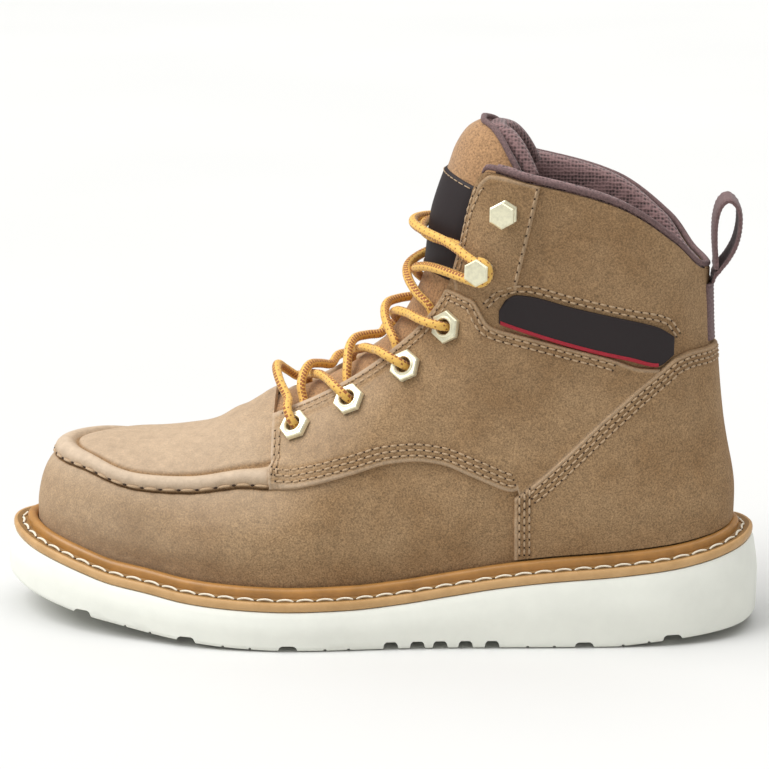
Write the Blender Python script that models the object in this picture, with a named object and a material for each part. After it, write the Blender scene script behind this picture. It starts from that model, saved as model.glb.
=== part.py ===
# Wedge sole work boot, left foot. Toe along -X, heel along +X, lateral side along -Y, up +Z.
import math

import bmesh
import bpy
import numpy as np

# Main sizes, in metres
SOLE_LENGTH = 0.310
BALL_WIDTH = 0.112
SOLE_HEEL = 0.038
SHAFT_HEIGHT = 0.1885
TOE_SHIFT = 0.008
SOLE_BULGE = 0.0025
SOLE_CHAMFER = 0.0016
WELT_THICKNESS = 0.0034
WELT_WIDTH = 0.0098
BEAD_HEIGHT = 0.0042
WALL = 0.0020
OVERLAY = 0.0016
RIDGE_HEIGHT = 0.0032
GAP = 0.0003
INSOLE_THICKNESS = 0.004
NOTCH_WIDE = 0.0082
NOTCH_WIDE_DEPTH = 0.0026
NOTCH_NARROW = 0.0064
NOTCH_NARROW_DEPTH = 0.0034
TONGUE_THICKNESS = 0.0055
TONGUE_ROLL = 0.012
COLLAR_PAD = 0.0075
COLLAR_DEPTH = 0.034
PIPING_RADIUS = 0.0012
EYELET_RADIUS = 0.0066
EYELET_HOLE = 0.0031
EYELET_THICKNESS = 0.0016
FITTING_REST = 0.0005
HOOK_RADIUS = 0.0054
HOOK_BASE_RADIUS = 0.0046
HOOK_SHANK_RADIUS = 0.0024
HOOK_HEIGHT = 0.0062
HOOK_HEAD = 0.0018
LACE_RADIUS = 0.0018
LACE_REST = 0.0016
LOOP_WIDTH = 0.020
LOOP_THICKNESS = 0.0018
LOOP_HEIGHT = 0.0276

# Where the toe fan and the heel fan of meridians start, the front of the throat, the place
# behind which the foot's centre line is straight, the fronts of the padded collar and piping,
# the foot of the pull loop and the radius of the tongue, which fits the throat
TOE_FAN = -0.3161 * SOLE_LENGTH
HEEL_FAN = 0.2968 * SOLE_LENGTH
THROAT_FRONT = -0.1355 * SOLE_LENGTH
SPINE_BEND = 0.1935 * SOLE_LENGTH
COLLAR_FRONT = 0.1806 * SOLE_LENGTH
PIPING_FRONT = 0.1452 * SOLE_LENGTH
LOOP_FOOT = 0.626 * SHAFT_HEIGHT
TONGUE_RADIUS = 0.2545 * BALL_WIDTH

# Sole outline: share of length from heel to toe; lateral and medial half-width, shares of ball width
OUTLINE = (
    # along, lateral, medial
    (0.000, 0.000, 0.000),
    (0.005, 0.085, 0.085),
    (0.016, 0.161, 0.161),
    (0.039, 0.237, 0.237),
    (0.081, 0.308, 0.304),
    (0.129, 0.348, 0.339),
    (0.177, 0.369, 0.357),
    (0.242, 0.388, 0.359),
    (0.323, 0.407, 0.355),
    (0.416, 0.429, 0.360),
    (0.484, 0.455, 0.380),
    (0.548, 0.484, 0.420),
    (0.613, 0.502, 0.464),
    (0.677, 0.498, 0.496),
    (0.742, 0.469, 0.504),
    (0.806, 0.415, 0.493),
    (0.871, 0.353, 0.458),
    (0.919, 0.277, 0.404),
    (0.958, 0.187, 0.325),
    (0.984, 0.084, 0.230),
    (1.000, -0.071, 0.071),
)

# Sole in side view: share of length from heel; underside and top as shares of the heel's height
SOLE_SIDE = (
    # along, under, top
    (0.000, 0.122, 1.000),
    (0.023, 0.108, 0.958),
    (0.068, 0.084, 0.876),
    (0.116, 0.055, 0.811),
    (0.155, 0.024, 0.775),
    (0.190, 0.000, 0.747),
    (0.271, 0.000, 0.697),
    (0.335, 0.000, 0.637),
    (0.397, 0.000, 0.555),
    (0.461, 0.000, 0.474),
    (0.526, 0.000, 0.424),
    (0.606, 0.000, 0.410),
    (0.652, 0.011, 0.418),
    (0.694, 0.027, 0.433),
    (0.739, 0.055, 0.460),
    (0.787, 0.097, 0.516),
    (0.839, 0.156, 0.568),
    (0.877, 0.195, 0.639),
    (0.929, 0.262, 0.732),
    (0.971, 0.326, 0.808),
    (1.000, 0.372, 0.868),
)

# In the tables below a place along the foot is a share of the sole's length from its middle,
# towards the heel, and an edge's height is a share of the shaft's height.

# Upper sections by foot position: widths are shares of the half-width at the welt,
# heights are shares of the way from the welt to the section's own edge height.
# edge is a share of the shaft's height; crown is the height at the centre line, a share too.
SECTIONS = (
    # along, low_w, low_h, mid_w, mid_h, high_w, high_h, edge_w, edge, crown
    (0.4603, 1.000, 0.190, 0.892, 0.470, 0.830, 0.740, 0.800, 0.776, 1.100),
    (0.4387, 1.015, 0.180, 0.890, 0.460, 0.835, 0.730, 0.820, 0.790, 1.100),
    (0.3774, 1.055, 0.160, 0.965, 0.430, 0.970, 0.720, 0.980, 0.856, 1.100),
    (0.2968, 1.120, 0.150, 1.045, 0.470, 1.085, 0.780, 1.110, 0.938, 1.100),
    (0.1935, 1.090, 0.140, 1.035, 0.460, 1.050, 0.780, 1.060, 0.982, 1.100),
    (0.1419, 1.080, 0.130, 1.020, 0.440, 0.990, 0.760, 0.880, 1.000, 1.100),
    (0.1226, 1.080, 0.130, 1.010, 0.440, 0.920, 0.740, 0.760, 0.935, 1.060),
    (0.1097, 1.080, 0.140, 1.010, 0.440, 0.890, 0.730, 0.690, 0.835, 0.960),
    (0.0903, 1.075, 0.160, 0.995, 0.470, 0.850, 0.760, 0.640, 0.742, 0.830),
    (0.0161, 1.060, 0.210, 0.965, 0.540, 0.760, 0.825, 0.480, 0.602, 0.640),
    (-0.0645, 1.045, 0.245, 0.940, 0.605, 0.700, 0.835, 0.390, 0.511, 0.535),
    (-0.1355, 1.045, 0.300, 0.830, 0.655, 0.705, 0.760, 0.325, 0.455, 0.478),
    (-0.1774, 1.045, 0.320, 0.820, 0.715, 0.710, 0.800, 0.320, 0.422, 0.438),
    (-0.2419, 1.050, 0.345, 0.865, 0.735, 0.750, 0.820, 0.320, 0.390, 0.398),
    (-0.3161, 1.060, 0.350, 0.950, 0.775, 0.825, 0.870, 0.320, 0.374, 0.379),
    (-0.4032, 1.030, 0.400, 0.850, 0.830, 0.700, 0.930, 0.320, 0.376, 0.379),
    (-0.4603, 0.992, 0.370, 0.820, 0.830, 0.640, 0.950, 0.320, 0.376, 0.379),
)

# Levels of the upper's mesh: 0 foot, 1 top of the welt's bead, 2 low, 3 mid, 4 high,
# 5 edge of the opening, 6 centre line
LEVELS = (0.0, 1.0, 1.5, 2.0, 2.6, 3.0, 3.2, 3.5, 3.8, 4.0, 4.35, 4.7, 5.0)
CROWN_LEVELS = (5.35, 5.7, 6.0)
# Foot positions of the meridians between heel and instep, closer at the shaft's front
SHAFT_STATIONS = (0.2774, 0.2323, 0.1935, 0.1677, 0.1484, 0.1355, 0.1226, 0.1097, 0.0968, 0.0806, 0.0581)
EDGE = 5.0
CROWN = 6.0

# Tongue: centre line of its outer face, then half-width as a share of its own radius,
# and that radius as a share of the main one
TONGUE = (
    # along, height, half_width, radius
    (-0.172, 0.4180, 0.62, 1.10),
    (-0.137, 0.4560, 0.68, 1.08),
    (-0.069, 0.5140, 0.78, 1.02),
    (0.006, 0.6080, 0.90, 0.92),
    (0.041, 0.6900, 0.95, 0.86),
    (0.060, 0.7650, 0.96, 0.85),
    (0.066, 0.8340, 0.96, 0.86),
    (0.071, 0.8950, 0.96, 0.88),
    (0.079, 0.9400, 0.96, 0.90),
    (0.090, 0.9900, 0.94, 0.94),
    (0.100, 1.0350, 0.91, 0.98),
    (0.116, 1.0720, 0.87, 1.03),
    (0.136, 1.0900, 0.80, 1.08),
)

# Quarter panel: its lower and its upper edge
QUARTER = (
    # along, lower, upper
    (-0.1355, 0.3236, 0.4775),
    (-0.1032, 0.3289, 0.5040),
    (-0.0774, 0.3395, 0.5305),
    (-0.0258, 0.3623, 0.5942),
    (0.0258, 0.3862, 0.6790),
    (0.0571, 0.3910, 0.7427),
    (0.0871, 0.3862, 0.7480),
    (0.1277, 0.3634, 0.7374),
    (0.1506, 0.3475, 0.6844),
    (0.1806, 0.3316, 0.6684),
    (0.2065, 0.3554, 0.6578),
    (0.2548, 0.4297, 0.6366),
    (0.3013, 0.5066, 0.6154),
    (0.3371, 0.5623, 0.5995),
)

# Counter: its upper edge, from its front end back to the heel
COUNTER = (
    # along, upper
    (0.1839, 0.3183),
    (0.2032, 0.3422),
    (0.2258, 0.3740),
    (0.2548, 0.4191),
    (0.3013, 0.4955),
    (0.3371, 0.5517),
    (0.3645, 0.5862),
    (0.3871, 0.6101),
    (0.4194, 0.6180),
    (0.4603, 0.6180),
)

# Front panel of the shaft beside the upper hooks: its lower and its upper edge
SHAFT_PANEL = (
    # along, lower, upper
    (0.1032, 0.7639, 0.7958),
    (0.1129, 0.7639, 0.8594),
    (0.1242, 0.7639, 0.9443),
    (0.1419, 0.7639, 0.9814),
    (0.1677, 0.7692, 0.9735),
    (0.1935, 0.7745, 0.9629),
)

# Side badge: its lower and its upper edge
BADGE = (
    # along, lower, upper
    (0.1613, 0.6897, 0.7347),
    (0.1839, 0.6764, 0.7491),
    (0.2581, 0.6419, 0.7215),
    (0.3226, 0.6180, 0.6950),
    (0.3613, 0.6101, 0.6737),
    (0.3839, 0.6286, 0.6552),
)

# Eyelets and hooks: place along the foot and height on the quarter
EYELETS = ((-0.1006, 0.4393), (-0.0297, 0.5013), (0.0439, 0.5809), (0.0977, 0.6711))
HOOKS = ((0.1406, 0.7984), (0.1694, 0.9204))

# Where the strand of each row leaves the throat's edge, and where one from the other side reaches it
LACE_ROWS = (
    # leaving, arriving
    (-0.0871, -0.1097),
    (-0.0161, -0.0387),
    (0.0516, 0.0323),
    (0.0903, 0.0839),
    (0.1065, 0.1026),
)

# Pull loop above the collar: distance behind and above the top of the heel, shares of its height
LOOP_PATH = (
    # behind, above
    (0.029, -0.072),
    (0.109, 0.058),
    (0.203, 0.181),
    (0.304, 0.380),
    (0.355, 0.634),
    (0.337, 0.877),
    (0.225, 1.000),
    (0.123, 0.913),
    (0.072, 0.688),
    (0.072, 0.399),
    (0.087, 0.225),
)

# Cross grooves of the underside
WIDE_NOTCHES = (-0.3774, -0.2355, -0.1032, 0.2742, 0.3871)
NARROW_NOTCHES = (0.0274, 0.0613, 0.0903, 0.1226, 0.1565)


def clear_objects():
    for item in list(bpy.data.objects):
        bpy.data.objects.remove(item, do_unlink=True)


def column(table, index):
    return np.array([row[index] for row in table])


def hermite_slopes(knots, values):
    # Slopes that keep a monotone run of values monotone
    step = np.diff(knots)
    rise = np.diff(values) / step
    slopes = np.zeros(len(knots))
    for i in range(1, len(knots) - 1):
        if rise[i - 1] * rise[i] > 0.0:
            first = 2 * step[i] + step[i - 1]
            second = step[i] + 2 * step[i - 1]
            slopes[i] = (first + second) / (first / rise[i - 1] + second / rise[i])
    slopes[0] = rise[0]
    slopes[-1] = rise[-1]
    return slopes


def hermite(knots, values, slopes, at):
    i = int(np.clip(np.searchsorted(knots, at) - 1, 0, len(knots) - 2))
    step = knots[i + 1] - knots[i]
    s = min(max((at - knots[i]) / step, 0.0), 1.0)
    a = (1 + 2 * s) * (1 - s) ** 2
    b = s * (1 - s) ** 2
    c = s * s * (3 - 2 * s)
    d = s * s * (s - 1)
    return a * values[i] + b * step * slopes[i] + c * values[i + 1] + d * step * slopes[i + 1]


def smooth_table(table, key, value):
    # A smooth function of one column over another; the key column may fall or rise
    knots = column(table, key)
    values = column(table, value)
    order = np.argsort(knots)
    knots = knots[order]
    values = values[order]
    slopes = hermite_slopes(knots, values)
    return lambda at: float(hermite(knots, values, slopes, at))


def closed_spline(params, points, period):
    # Periodic cubic spline through points; gives the second derivatives at the knots
    n = len(params)
    step = np.diff(np.append(params, params[0] + period))
    matrix = np.zeros((n, n))
    right = np.zeros((n, points.shape[1]))
    for i in range(n):
        before = step[i - 1]
        after = step[i]
        matrix[i, i - 1] += before / 6
        matrix[i, i] += (before + after) / 3
        matrix[i, (i + 1) % n] += after / 6
        ahead = (points[(i + 1) % n] - points[i]) / after
        behind = (points[i] - points[i - 1]) / before
        right[i] = ahead - behind
    return np.linalg.solve(matrix, right)


def outline_setup():
    along = column(OUTLINE, 0)
    x = SOLE_LENGTH / 2 - along * SOLE_LENGTH
    lateral = np.stack([x, -column(OUTLINE, 1) * BALL_WIDTH], axis=1)
    medial = np.stack([x, column(OUTLINE, 2) * BALL_WIDTH], axis=1)
    chord = np.hypot(*np.diff(lateral, axis=0).T) + np.hypot(*np.diff(medial, axis=0).T)
    knots = np.append(0.0, np.cumsum(chord))
    knots = knots / knots[-1]
    params = np.concatenate([knots, 2.0 - knots[-2:0:-1]])
    points = np.concatenate([lateral, medial[-2:0:-1]])
    return params, points, closed_spline(params, points, 2.0)


RIM_PARAMS, RIM_POINTS, RIM_BENDS = outline_setup()


def rim(t, inset=0.0):
    # Point on the sole outline; t runs 0 heel, 1 toe by the lateral side, 2 heel by the medial side
    t = t % 2.0
    n = len(RIM_PARAMS)
    i = int(np.searchsorted(RIM_PARAMS, t, side="right") - 1)
    j = (i + 1) % n
    end = RIM_PARAMS[j] if j else 2.0
    step = end - RIM_PARAMS[i]
    b = (t - RIM_PARAMS[i]) / step
    a = 1.0 - b
    bend_a = (a ** 3 - a) * step * step / 6
    bend_b = (b ** 3 - b) * step * step / 6
    point = a * RIM_POINTS[i] + b * RIM_POINTS[j] + bend_a * RIM_BENDS[i] + bend_b * RIM_BENDS[j]
    slope = (RIM_POINTS[j] - RIM_POINTS[i]) / step
    slope = slope - (3 * a * a - 1) * step / 6 * RIM_BENDS[i]
    slope = slope + (3 * b * b - 1) * step / 6 * RIM_BENDS[j]
    slope = slope / np.hypot(*slope)
    inward = np.array([slope[1], -slope[0]])
    return point + inward * inset


SOLE_UNDER_SHARE = smooth_table(SOLE_SIDE, 0, 1)
SOLE_TOP_SHARE = smooth_table(SOLE_SIDE, 0, 2)


def sole_under(x):
    return SOLE_HEEL * SOLE_UNDER_SHARE(0.5 - x / SOLE_LENGTH)


def sole_top(x):
    return SOLE_HEEL * SOLE_TOP_SHARE(0.5 - x / SOLE_LENGTH)


FOOT_INSET = SOLE_BULGE + WELT_WIDTH + GAP
SECTION_AT = [smooth_table(SECTIONS, 0, c) for c in range(1, 10)]
CROWN_AT = SECTION_AT[8]


def height_table(table, value):
    # Height of an edge line by foot position
    shares = smooth_table(table, 0, value)
    return lambda x: SHAFT_HEIGHT * shares(x / SOLE_LENGTH)


def spine_y(x):
    # The foot's centre line leans towards the medial side at the toe
    share = min(max((SPINE_BEND - x) / (SPINE_BEND - TOE_FAN), 0.0), 1.0)
    return TOE_SHIFT * share * share * (3 - 2 * share)


def section(t):
    # One meridian: the origin on the spine, the direction outward and the knots in (reach, height)
    foot = rim(t, FOOT_INSET)
    other = rim(2.0 - t, FOOT_INSET)
    foot_x = 0.5 * (foot[0] + other[0])
    x = min(max(foot_x, TOE_FAN), HEEL_FAN)
    origin = np.array([x, spine_y(x)])
    reach = np.hypot(*(foot - origin))
    outward = (foot - origin) / reach
    lateral = np.hypot(*((foot if t <= 1.0 else other) - origin))
    along = foot_x / SOLE_LENGTH
    low_w, low_h, mid_w, mid_h, high_w, high_h, edge_w, edge, crown = [f(along) for f in SECTION_AT]
    base = sole_top(foot[0]) + GAP
    top = edge * SHAFT_HEIGHT
    rise = top - base
    knots = np.array([
        [reach, base],
        [reach, base + WELT_THICKNESS + BEAD_HEIGHT + GAP],
        [reach * low_w, base + rise * low_h],
        [0.5 * (reach + lateral) * mid_w, base + rise * mid_h],
        [lateral * high_w, base + rise * high_h],
        [lateral * edge_w, top],
        [0.0, crown * SHAFT_HEIGHT],
    ])
    free = min(max((foot_x - THROAT_FRONT) / (HEEL_FAN - THROAT_FRONT) * 2.7, 0.0), 1.0)
    return origin, outward, knots, foot_x, free


def follow(knots, level, free=0.0):
    # Smooth curve through the knots; whole levels are the knots themselves
    chord = np.hypot(*np.diff(knots, axis=0).T)
    cum = np.append(0.0, np.cumsum(chord))
    slopes = np.zeros_like(knots)
    count = len(knots)
    for i in range(1, count - 1):
        before = (knots[i] - knots[i - 1]) / chord[i - 1]
        after = (knots[i + 1] - knots[i]) / chord[i]
        slopes[i] = (before * chord[i] + after * chord[i - 1]) / (chord[i - 1] + chord[i])
    slopes[0] = (knots[1] - knots[0]) / chord[0]
    slopes[1] = np.array([0.3 * slopes[1][0], slopes[1][1]])
    slopes[-1] = np.array([-1.0, 0.0])
    # Behind the throat's front the wall runs straight out at its edge
    straight = (knots[-2] - knots[-3]) / chord[-2]
    slopes[-2] = (1.0 - free) * slopes[-2] + free * straight
    i = min(int(level), count - 2)
    at = cum[i] + (level - i) * chord[i]
    return hermite(cum, knots, slopes, at)


def ridge_lift(level, foot_x):
    # The raised seam of the toe lies between the mid and high levels and fades under the quarter
    fade = min(max((THROAT_FRONT + 2.5 * RIDGE_HEIGHT - foot_x) / (3 * RIDGE_HEIGHT), 0.0), 1.0)
    share = level - 3.0
    if share <= 0.0 or share >= 1.0:
        return 0.0
    return RIDGE_HEIGHT * fade * math.sin(math.pi * share) ** 0.7


def bare_point(t, level):
    origin, outward, knots, foot_x, free = section(t)
    reach, height = follow(knots, level, free)
    return np.array([origin[0] + outward[0] * reach, origin[1] + outward[1] * reach, height])


def crown_normal(x):
    step = 0.006
    along = x / SOLE_LENGTH
    rise = (CROWN_AT(along + step) - CROWN_AT(along - step)) * SHAFT_HEIGHT
    normal = np.array([-rise / (2 * step * SOLE_LENGTH), 0.0, 1.0])
    return normal / np.linalg.norm(normal)


def upper_normal(t, level):
    if level > CROWN - 0.001:
        return crown_normal(section(t)[0][0])
    step = 0.004
    around = bare_point(t + step, level) - bare_point(t - step, level)
    low = max(level - 0.05, 0.0)
    high = level if level == EDGE else min(level + 0.05, CROWN)
    up = bare_point(t, high) - bare_point(t, low)
    normal = np.cross(up, around)
    return normal / np.linalg.norm(normal)


def upper_point(t, level, offset=0.0, ridge=False):
    point = bare_point(t, level)
    lift = ridge_lift(level, section(t)[3]) if ridge else 0.0
    if offset == 0.0 and lift == 0.0:
        return point
    return point + upper_normal(t, level) * (offset + lift)


STATION_T = np.linspace(0.0, 1.0, 401)
STATION_X = np.array([section(t)[3] for t in STATION_T])


def station(foot_x, side):
    # Rim position whose meridian stands at foot_x, on the lateral or the medial side
    t = float(np.interp(-foot_x, -STATION_X, STATION_T))
    return t if side < 0 else 2.0 - t


def half_ring():
    # Stations of the upper's mesh on one side, from the heel to the toe
    throat = station(THROAT_FRONT, -1)
    toe_side = throat + (1.0 - throat) * np.linspace(0.0, 1.0, 14)
    shaft = [station(along * SOLE_LENGTH, -1) for along in SHAFT_STATIONS]
    heel_side = list(np.linspace(0.0, shaft[0], 9)[:-1])
    return heel_side + shaft + list(np.linspace(shaft[-1], throat, 7)[1:]) + list(toe_side[1:])


def run_between(x_front, x_back, side):
    # Stations between two foot positions: the two ends and the upper's own between them
    first = station(x_back, -1)
    last = station(x_front, -1)
    run = [first] + [t for t in half_ring() if first + 0.004 < t < last - 0.004] + [last]
    return run if side < 0 else [2.0 - t for t in reversed(run)]


def heel_run(x_front):
    # Stations from the medial side round the heel to the lateral side
    last = station(x_front, -1)
    lateral = [t for t in half_ring() if t < last - 0.004] + [last]
    return [2.0 - t for t in reversed(lateral[1:])] + lateral


def fitting_spot(place, side):
    # Rim position and level of an eyelet or a hook
    t = station(place[0] * SOLE_LENGTH, side)
    return t, level_at(t, place[1] * SHAFT_HEIGHT)


def level_at(t, height):
    levels = np.linspace(0.0, EDGE, 81)
    origin, outward, knots, foot_x, free = section(t)
    heights = np.array([follow(knots, v, free)[1] for v in levels])
    return float(np.interp(height, heights, levels))


def material(name, colour, roughness, metallic=0.0):
    made = bpy.data.materials.new(name)
    made.use_nodes = True
    shader = made.node_tree.nodes["Principled BSDF"]
    shader.inputs["Base Color"].default_value = (*colour, 1.0)
    shader.inputs["Roughness"].default_value = roughness
    shader.inputs["Metallic"].default_value = metallic
    return made


def make_object(name, points, faces, look):
    mesh = bpy.data.meshes.new(name)
    mesh.from_pydata([tuple(float(c) for c in p) for p in points], [], faces)
    item = bpy.data.objects.new(name, mesh)
    bpy.context.scene.collection.objects.link(item)
    work = bmesh.new()
    work.from_mesh(mesh)
    bmesh.ops.remove_doubles(work, verts=work.verts, dist=1e-6)
    bmesh.ops.recalc_face_normals(work, faces=work.faces)
    bmesh.ops.triangulate(work, faces=work.faces)
    work.to_mesh(mesh)
    work.free()
    mesh.materials.append(look)
    return item


def shell(name, outer, inner, faces, look):
    # A closed wall between two surfaces of one layout: their open edges are joined
    count = len(outer)
    used = {}
    for face in faces:
        for a, b in zip(face, face[1:] + face[:1]):
            used[(a, b)] = used.get((a, b), 0) + 1
    closed = [tuple(face) for face in faces]
    closed += [tuple(i + count for i in reversed(face)) for face in faces]
    for a, b in used:
        if (b, a) not in used:
            closed.append((b, a, a + count, b + count))
    return make_object(name, list(outer) + list(inner), closed, look)


def grid_faces(rows, columns, wrap=False):
    faces = []
    for i in range(rows if wrap else rows - 1):
        for j in range(columns - 1):
            a = i * columns + j
            b = ((i + 1) % rows) * columns + j
            faces.append((a, a + 1, b + 1))
            faces.append((a, b + 1, b))
    return faces


def tube(path, radius, sides, closed=False):
    # Rings of points along a path, with capped ends
    path = np.array(path)
    count = len(path)
    points = []
    reference = np.array([0.0, 0.0, 1.0])
    for i in range(count):
        if closed:
            along = path[(i + 1) % count] - path[i - 1]
        else:
            along = path[min(i + 1, count - 1)] - path[max(i - 1, 0)]
        along = along / np.linalg.norm(along)
        if abs(along @ reference) > 0.97:
            reference = np.array([0.0, 1.0, 0.0])
        across = np.cross(along, reference)
        across = across / np.linalg.norm(across)
        over = np.cross(across, along)
        for k in range(sides):
            turn = 2 * math.pi * (k + 0.5) / sides
            points.append(path[i] + (across * math.cos(turn) + over * math.sin(turn)) * radius)
    faces = []
    for i in range(count if closed else count - 1):
        for k in range(sides):
            a = i * sides + k
            b = i * sides + (k + 1) % sides
            c = ((i + 1) % count) * sides + (k + 1) % sides
            d = ((i + 1) % count) * sides + k
            faces.append((a, b, c, d))
    if not closed:
        faces.append(tuple(reversed(range(sides))))
        faces.append(tuple(range((count - 1) * sides, count * sides)))
    return points, faces


def loft_rim(name, profile, stations, look):
    # Sweep a closed profile of (inset, height function) round the sole outline
    points = []
    for t in stations:
        for inset, height in profile:
            x, y = rim(t, inset)
            points.append((x, y, height(x)))
    columns = len(profile)
    faces = []
    for i in range(len(stations)):
        for j in range(columns):
            a = i * columns + j
            b = i * columns + (j + 1) % columns
            c = ((i + 1) % len(stations)) * columns + (j + 1) % columns
            d = ((i + 1) % len(stations)) * columns + j
            faces.append((a, b, c, d))
    return make_object(name, points, faces, look)


def plate(name, inset_low, inset_high, under, top, stations, look, belly=None):
    # A solid with the rim's outline: side rings, then the underside and top laid in strips
    half = [t for t in stations if t <= 1.0]
    ring = half + [2.0 - t for t in reversed(half[1:-1])]
    rows = [(inset_low + SOLE_CHAMFER, under, 0.0), (inset_low, under, SOLE_CHAMFER)]
    if belly:
        rows.append((0.0, None, belly))
    rows.append((inset_high, top, 0.0))
    points = []
    for inset, height, extra in rows:
        for t in ring:
            x, y = rim(t, inset)
            if height is None:
                z = under(x) + (top(x) - under(x)) * extra
            else:
                z = height(x) + extra
            points.append((x, y, z))
    count = len(ring)
    faces = []
    for row in range(len(rows) - 1):
        for i in range(count):
            a = row * count + i
            b = row * count + (i + 1) % count
            faces.append((a, b, b + count, a + count))
    for row in (0, len(rows) - 1):
        base = row * count
        for i in range(len(half) - 1):
            a = base + i
            b = base + i + 1
            c = base + (count - i - 1)
            d = base + (count - i) % count
            if i == 0:
                faces.append((a, b, c))
            elif i == len(half) - 2:
                faces.append((a, b, d))
            else:
                faces.append((a, b, c, d))
    return make_object(name, points, faces, look)


def prism_cut(item, outline_xz, half_width):
    # Cut a groove across the sole: the outline is a closed loop of (x, z)
    count = len(outline_xz)
    points = [(x, -half_width, z) for x, z in outline_xz] + [(x, half_width, z) for x, z in outline_xz]
    faces = [tuple(range(count)), tuple(reversed(range(count, 2 * count)))]
    for i in range(count):
        j = (i + 1) % count
        faces.append((i, i + count, j + count, j))
    cutter = make_object("groove_cutter", points, faces, item.data.materials[0])
    cut = item.modifiers.new("groove", "BOOLEAN")
    cut.operation = "DIFFERENCE"
    cut.solver = "EXACT"
    cut.object = cutter
    bpy.context.view_layer.update()
    graph = bpy.context.evaluated_depsgraph_get()
    result = bpy.data.meshes.new_from_object(item.evaluated_get(graph))
    item.modifiers.clear()
    item.data = result
    bpy.data.objects.remove(cutter, do_unlink=True)


def build_outsole(look):
    stations = [0.0, 0.015, 0.03, 0.05, 0.075, 0.1] + list(np.linspace(0.135, 0.865, 22))
    stations += [0.9, 0.925, 0.95, 0.97, 0.985, 1.0]
    sole = plate("outsole", 0.0004, SOLE_BULGE, sole_under, sole_top, stations, look, 0.55)
    for centres, width, depth in (
        (WIDE_NOTCHES, NOTCH_WIDE, NOTCH_WIDE_DEPTH),
        (NARROW_NOTCHES, NOTCH_NARROW, NOTCH_NARROW_DEPTH),
    ):
        for along in centres:
            x = along * SOLE_LENGTH
            base = sole_under(x)
            outline = [(x - width * 0.75, base - 0.004), (x + width * 0.75, base - 0.004)]
            outline += [(x + width * 0.5, base), (x + width * 0.3, base + depth)]
            outline += [(x - width * 0.3, base + depth), (x - width * 0.5, base)]
            prism_cut(sole, outline, BALL_WIDTH)
    return sole


def build_welt(look):
    rest = SOLE_BULGE
    inner = SOLE_BULGE + WELT_WIDTH
    strip = WELT_THICKNESS

    def at(lift):
        return lambda x: sole_top(x) + GAP + lift

    profile = [
        (rest, at(0.0)),
        (rest - 0.0002, at(strip * 0.5)),
        (rest + 0.0002, at(strip)),
        (inner - 0.0046, at(strip + 0.0002)),
        (inner - 0.0038, at(strip + BEAD_HEIGHT * 0.7)),
        (inner - 0.0020, at(strip + BEAD_HEIGHT)),
        (inner, at(strip + BEAD_HEIGHT * 0.8)),
        (inner, at(0.0)),
    ]
    stations = [s / 36.0 for s in range(72)]
    return loft_rim("welt", profile, stations, look)


def build_upper(look):
    throat = station(THROAT_FRONT, -1)
    half = half_ring()
    ring = half + [2.0 - t for t in reversed(half[1:-1])]
    levels = LEVELS + CROWN_LEVELS
    outer = []
    inner = []
    index = {}
    for i, t in enumerate(ring):
        share = t if t <= 1.0 else 2.0 - t
        crowned = share >= throat - 1e-9
        for j, level in enumerate(levels if crowned else LEVELS):
            key = (i, j)
            if level > CROWN - 0.001:
                key = ("crown", round(section(t)[0][0], 7))
            if key not in index:
                index[key] = len(outer)
                outer.append(upper_point(t, level, 0.0, True))
                inner.append(upper_point(t, level, -WALL))
            index[(i, j)] = index[key]
    faces = []
    count = len(ring)
    for i in range(count):
        k = (i + 1) % count
        for j in range(len(levels) - 1):
            halves = (((i, j), (i, j + 1), (k, j + 1)), ((i, j), (k, j + 1), (k, j)))
            for half_face in halves:
                if all(key in index for key in half_face):
                    face = tuple(index[key] for key in half_face)
                    if len(set(face)) == 3:
                        faces.append(face)
    return shell("upper", outer, inner, faces, look)


def panel(name, stations, limits, look, offset, thickness):
    # A wall over the upper whose rows follow the upper's own levels between two limits
    lowest = min(low for low, high in limits)
    highest = max(high for low, high in limits)
    rows = [level for level in LEVELS if lowest < level < highest]
    outer = []
    inner = []
    for t, (low, high) in zip(stations, limits):
        for level in [low] + [min(max(row, low), high) for row in rows] + [high]:
            outer.append(upper_point(t, level, offset + thickness, True))
            inner.append(upper_point(t, level, offset, True))
    return shell(name, outer, inner, grid_faces(len(stations), len(rows) + 2), look)


def band(name, table, side, look, offset=GAP, thickness=OVERLAY):
    # A panel on the upper between a lower and an upper edge line, over a run of meridians
    lower = height_table(table, 1)
    upper = height_table(table, 2)
    stations = run_between(table[0][0] * SOLE_LENGTH, table[-1][0] * SOLE_LENGTH, side)
    limits = []
    for t in stations:
        foot_x = section(t)[3]
        limits.append((level_at(t, lower(foot_x)), min(level_at(t, upper(foot_x)), EDGE - 0.03)))
    return panel(name, stations, limits, look, offset, thickness)


def build_counter(look):
    upper = height_table(COUNTER, 1)
    stations = heel_run(COUNTER[0][0] * SOLE_LENGTH)
    limits = [(1.04, level_at(t, upper(section(t)[3]))) for t in stations]
    return panel("heel_counter", stations, limits, look, GAP, OVERLAY)


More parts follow.
